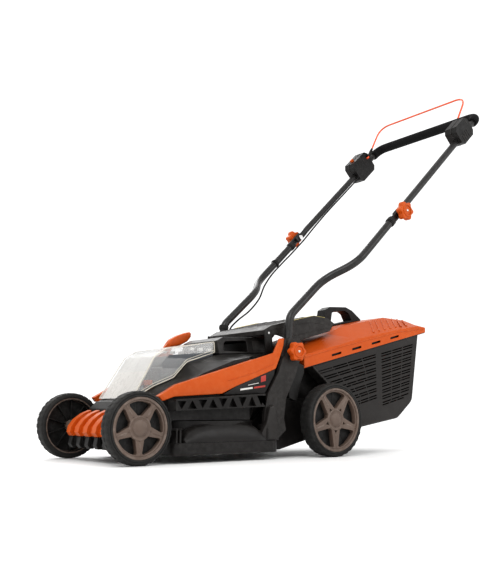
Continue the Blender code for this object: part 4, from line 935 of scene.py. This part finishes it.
def knob(name, pivot, inner_y, radius, body, side):
    """Six-lobed clamp knob with a raised ring and its bolt's end."""
    outline = []
    for i in range(120):
        a = 2 * math.pi * i / 120
        r = radius * (0.89 + 0.11 * math.cos(6 * a))
        outline.append((pivot[0] + r * math.cos(a), pivot[1] + r * math.sin(a)))
    wings = slab([outline], inner_y + 0.004, inner_y + 0.024, side, 0.0035)
    face = inner_y + 0.0235
    ring = spun(((0.50 * radius, face - 0.004), (0.50 * radius, face + 0.0025),
                 (0.56 * radius, face + 0.0035), (0.63 * radius, face + 0.0025),
                 (0.66 * radius, face - 0.002)), pivot, side, 48)
    boss = spun(((0.0034, inner_y), (0.55 * radius, inner_y), (0.55 * radius, inner_y + 0.006),
                 (0.0034, inner_y + 0.006)), pivot, side, 40)
    show(from_bmesh(together(wings, ring, boss)), name + "_skin", body, ORANGE)
    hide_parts(name)
    end = spun(((0.0, face + 0.0024), (0.0026, face + 0.0022), (0.0034, face + 0.0014),
                (0.0034, face - 0.001), (0.0060, face - 0.001), (0.0060, face - 0.0016),
                (0.0, face - 0.0016)), pivot, side, 24)
    show(from_bmesh(end), name + "_end", body, STEEL)


for label, side in SIDES:
    knob(f"lower_knob_{label}", LOWER_PIVOT, 0.1698, 0.026, f"lower_knob_{label[0]}", side)
    knob(f"mid_knob_{label}", MID_PIVOT, 0.2290, 0.028, f"mid_knob_{label[0]}", side)

UPPER_ROUTE = ((1.0950, 0.2050, 0.9310), (1.0700, 0.2045, 0.9110), (1.0000, 0.2040, 0.8450),
               (0.9400, 0.2040, 0.7880), (0.8800, 0.2045, 0.7270), (0.8340, 0.2045, 0.6780),
               (0.8050, 0.2040, 0.6500), (0.7720, 0.2030, 0.6190))
LOWER_ROUTE = ((0.7720, 0.2030, 0.6190), (0.7300, 0.2010, 0.5820), (0.6850, 0.1950, 0.5420),
               (0.6450, 0.1830, 0.5000), (0.6150, 0.1720, 0.4560), (0.5700, 0.1620, 0.4150),
               (0.5250, 0.1540, 0.3860), (0.4960, 0.1490, 0.3640), (0.4850, 0.1470, 0.3500),
               (0.4800, 0.1430, 0.3350), (0.4730, 0.1360, 0.3190), (0.4600, 0.1310, 0.3070),
               (0.4445, 0.1310, 0.3010))


def cable(name, route, bodies, start, end, *nodes):
    """Stretch of the control cable on a smooth path through the route, fixed in place; bodies, start and end
    are not used.
    """
    piece = from_bmesh(wire(smooth_path(route), CABLE_RADIUS, 4), 45)
    piece.name = name
    piece.data.name = name
    piece.data.materials.append(CABLE[0])
    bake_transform(piece)
    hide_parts(*nodes)


cable("cable_low", LOWER_ROUTE, ("chassis", "lower_handle"),
      (0.4460, 0.1310, 0.3020), (0.4960, 0.1490, 0.3640), "cable_deck", "cable_lower")
cable("cable_high", UPPER_ROUTE, ("lower_handle", "upper_handle"),
      (0.7900, 0.2040, 0.6350), (0.8600, 0.2045, 0.7060), "cable_upper")


# ---------------------------------------------------------------- studio

def area_light(name, place, target, size, power):
    data = bpy.data.lights.new(name, "AREA")
    data.shape = "RECTANGLE"
    data.size, data.size_y = size
    data.energy = power
    light = bpy.data.objects.new(name, data)
    bpy.context.scene.collection.objects.link(light)
    light.location = place
    light.rotation_euler = (Vector(target) - Vector(place)).to_track_quat("-Z", "Y").to_euler()


def studio():
    """Pale floor, white surroundings, three soft lights and the camera."""
    bm = bmesh.new()
    bmesh.ops.create_grid(bm, x_segments=8, y_segments=8, size=30)
    floor = from_bmesh(bm, shift=False)
    floor.name = "floor"
    floor.location.z = -0.0002
    floor_finish = surface("floor", (0.90, 0.90, 0.895), 0.55, 0.01, 0.10, grain=300.0, waves=0.0)
    floor.data.materials.append(floor_finish)
    world = bpy.data.worlds.new("studio")
    bpy.context.scene.world = world
    world.use_nodes = True
    background = world.node_tree.nodes["Background"]
    background.inputs["Color"].default_value = (1, 1, 1, 1)
    background.inputs["Strength"].default_value = 1.0
    area_light("key", (-2.2, -1.6, 2.6), (0, 0, 0.3), (1.8, 1.4), 40)
    area_light("side", (1.4, -2.8, 1.5), (0.1, 0, 0.4), (1.6, 1.2), 18)
    area_light("back", (0.6, 2.6, 2.4), (0, 0, 0.5), (2.2, 1.2), 30)
    camera_data = bpy.data.cameras.new("camera")
    camera_data.lens = 49.753
    camera_data.sensor_width = 36
    camera = bpy.data.objects.new("camera", camera_data)
    bpy.context.scene.collection.objects.link(camera)
    camera.location = (-1.4585, -1.7125, 0.1256)
    camera.rotation_euler = (math.pi / 2 + 0.1536, 0, -0.6596)
    bpy.context.scene.camera = camera
    bpy.context.scene.view_settings.view_transform = "Standard"
    bpy.context.scene.view_settings.look = "Medium High Contrast"


studio()
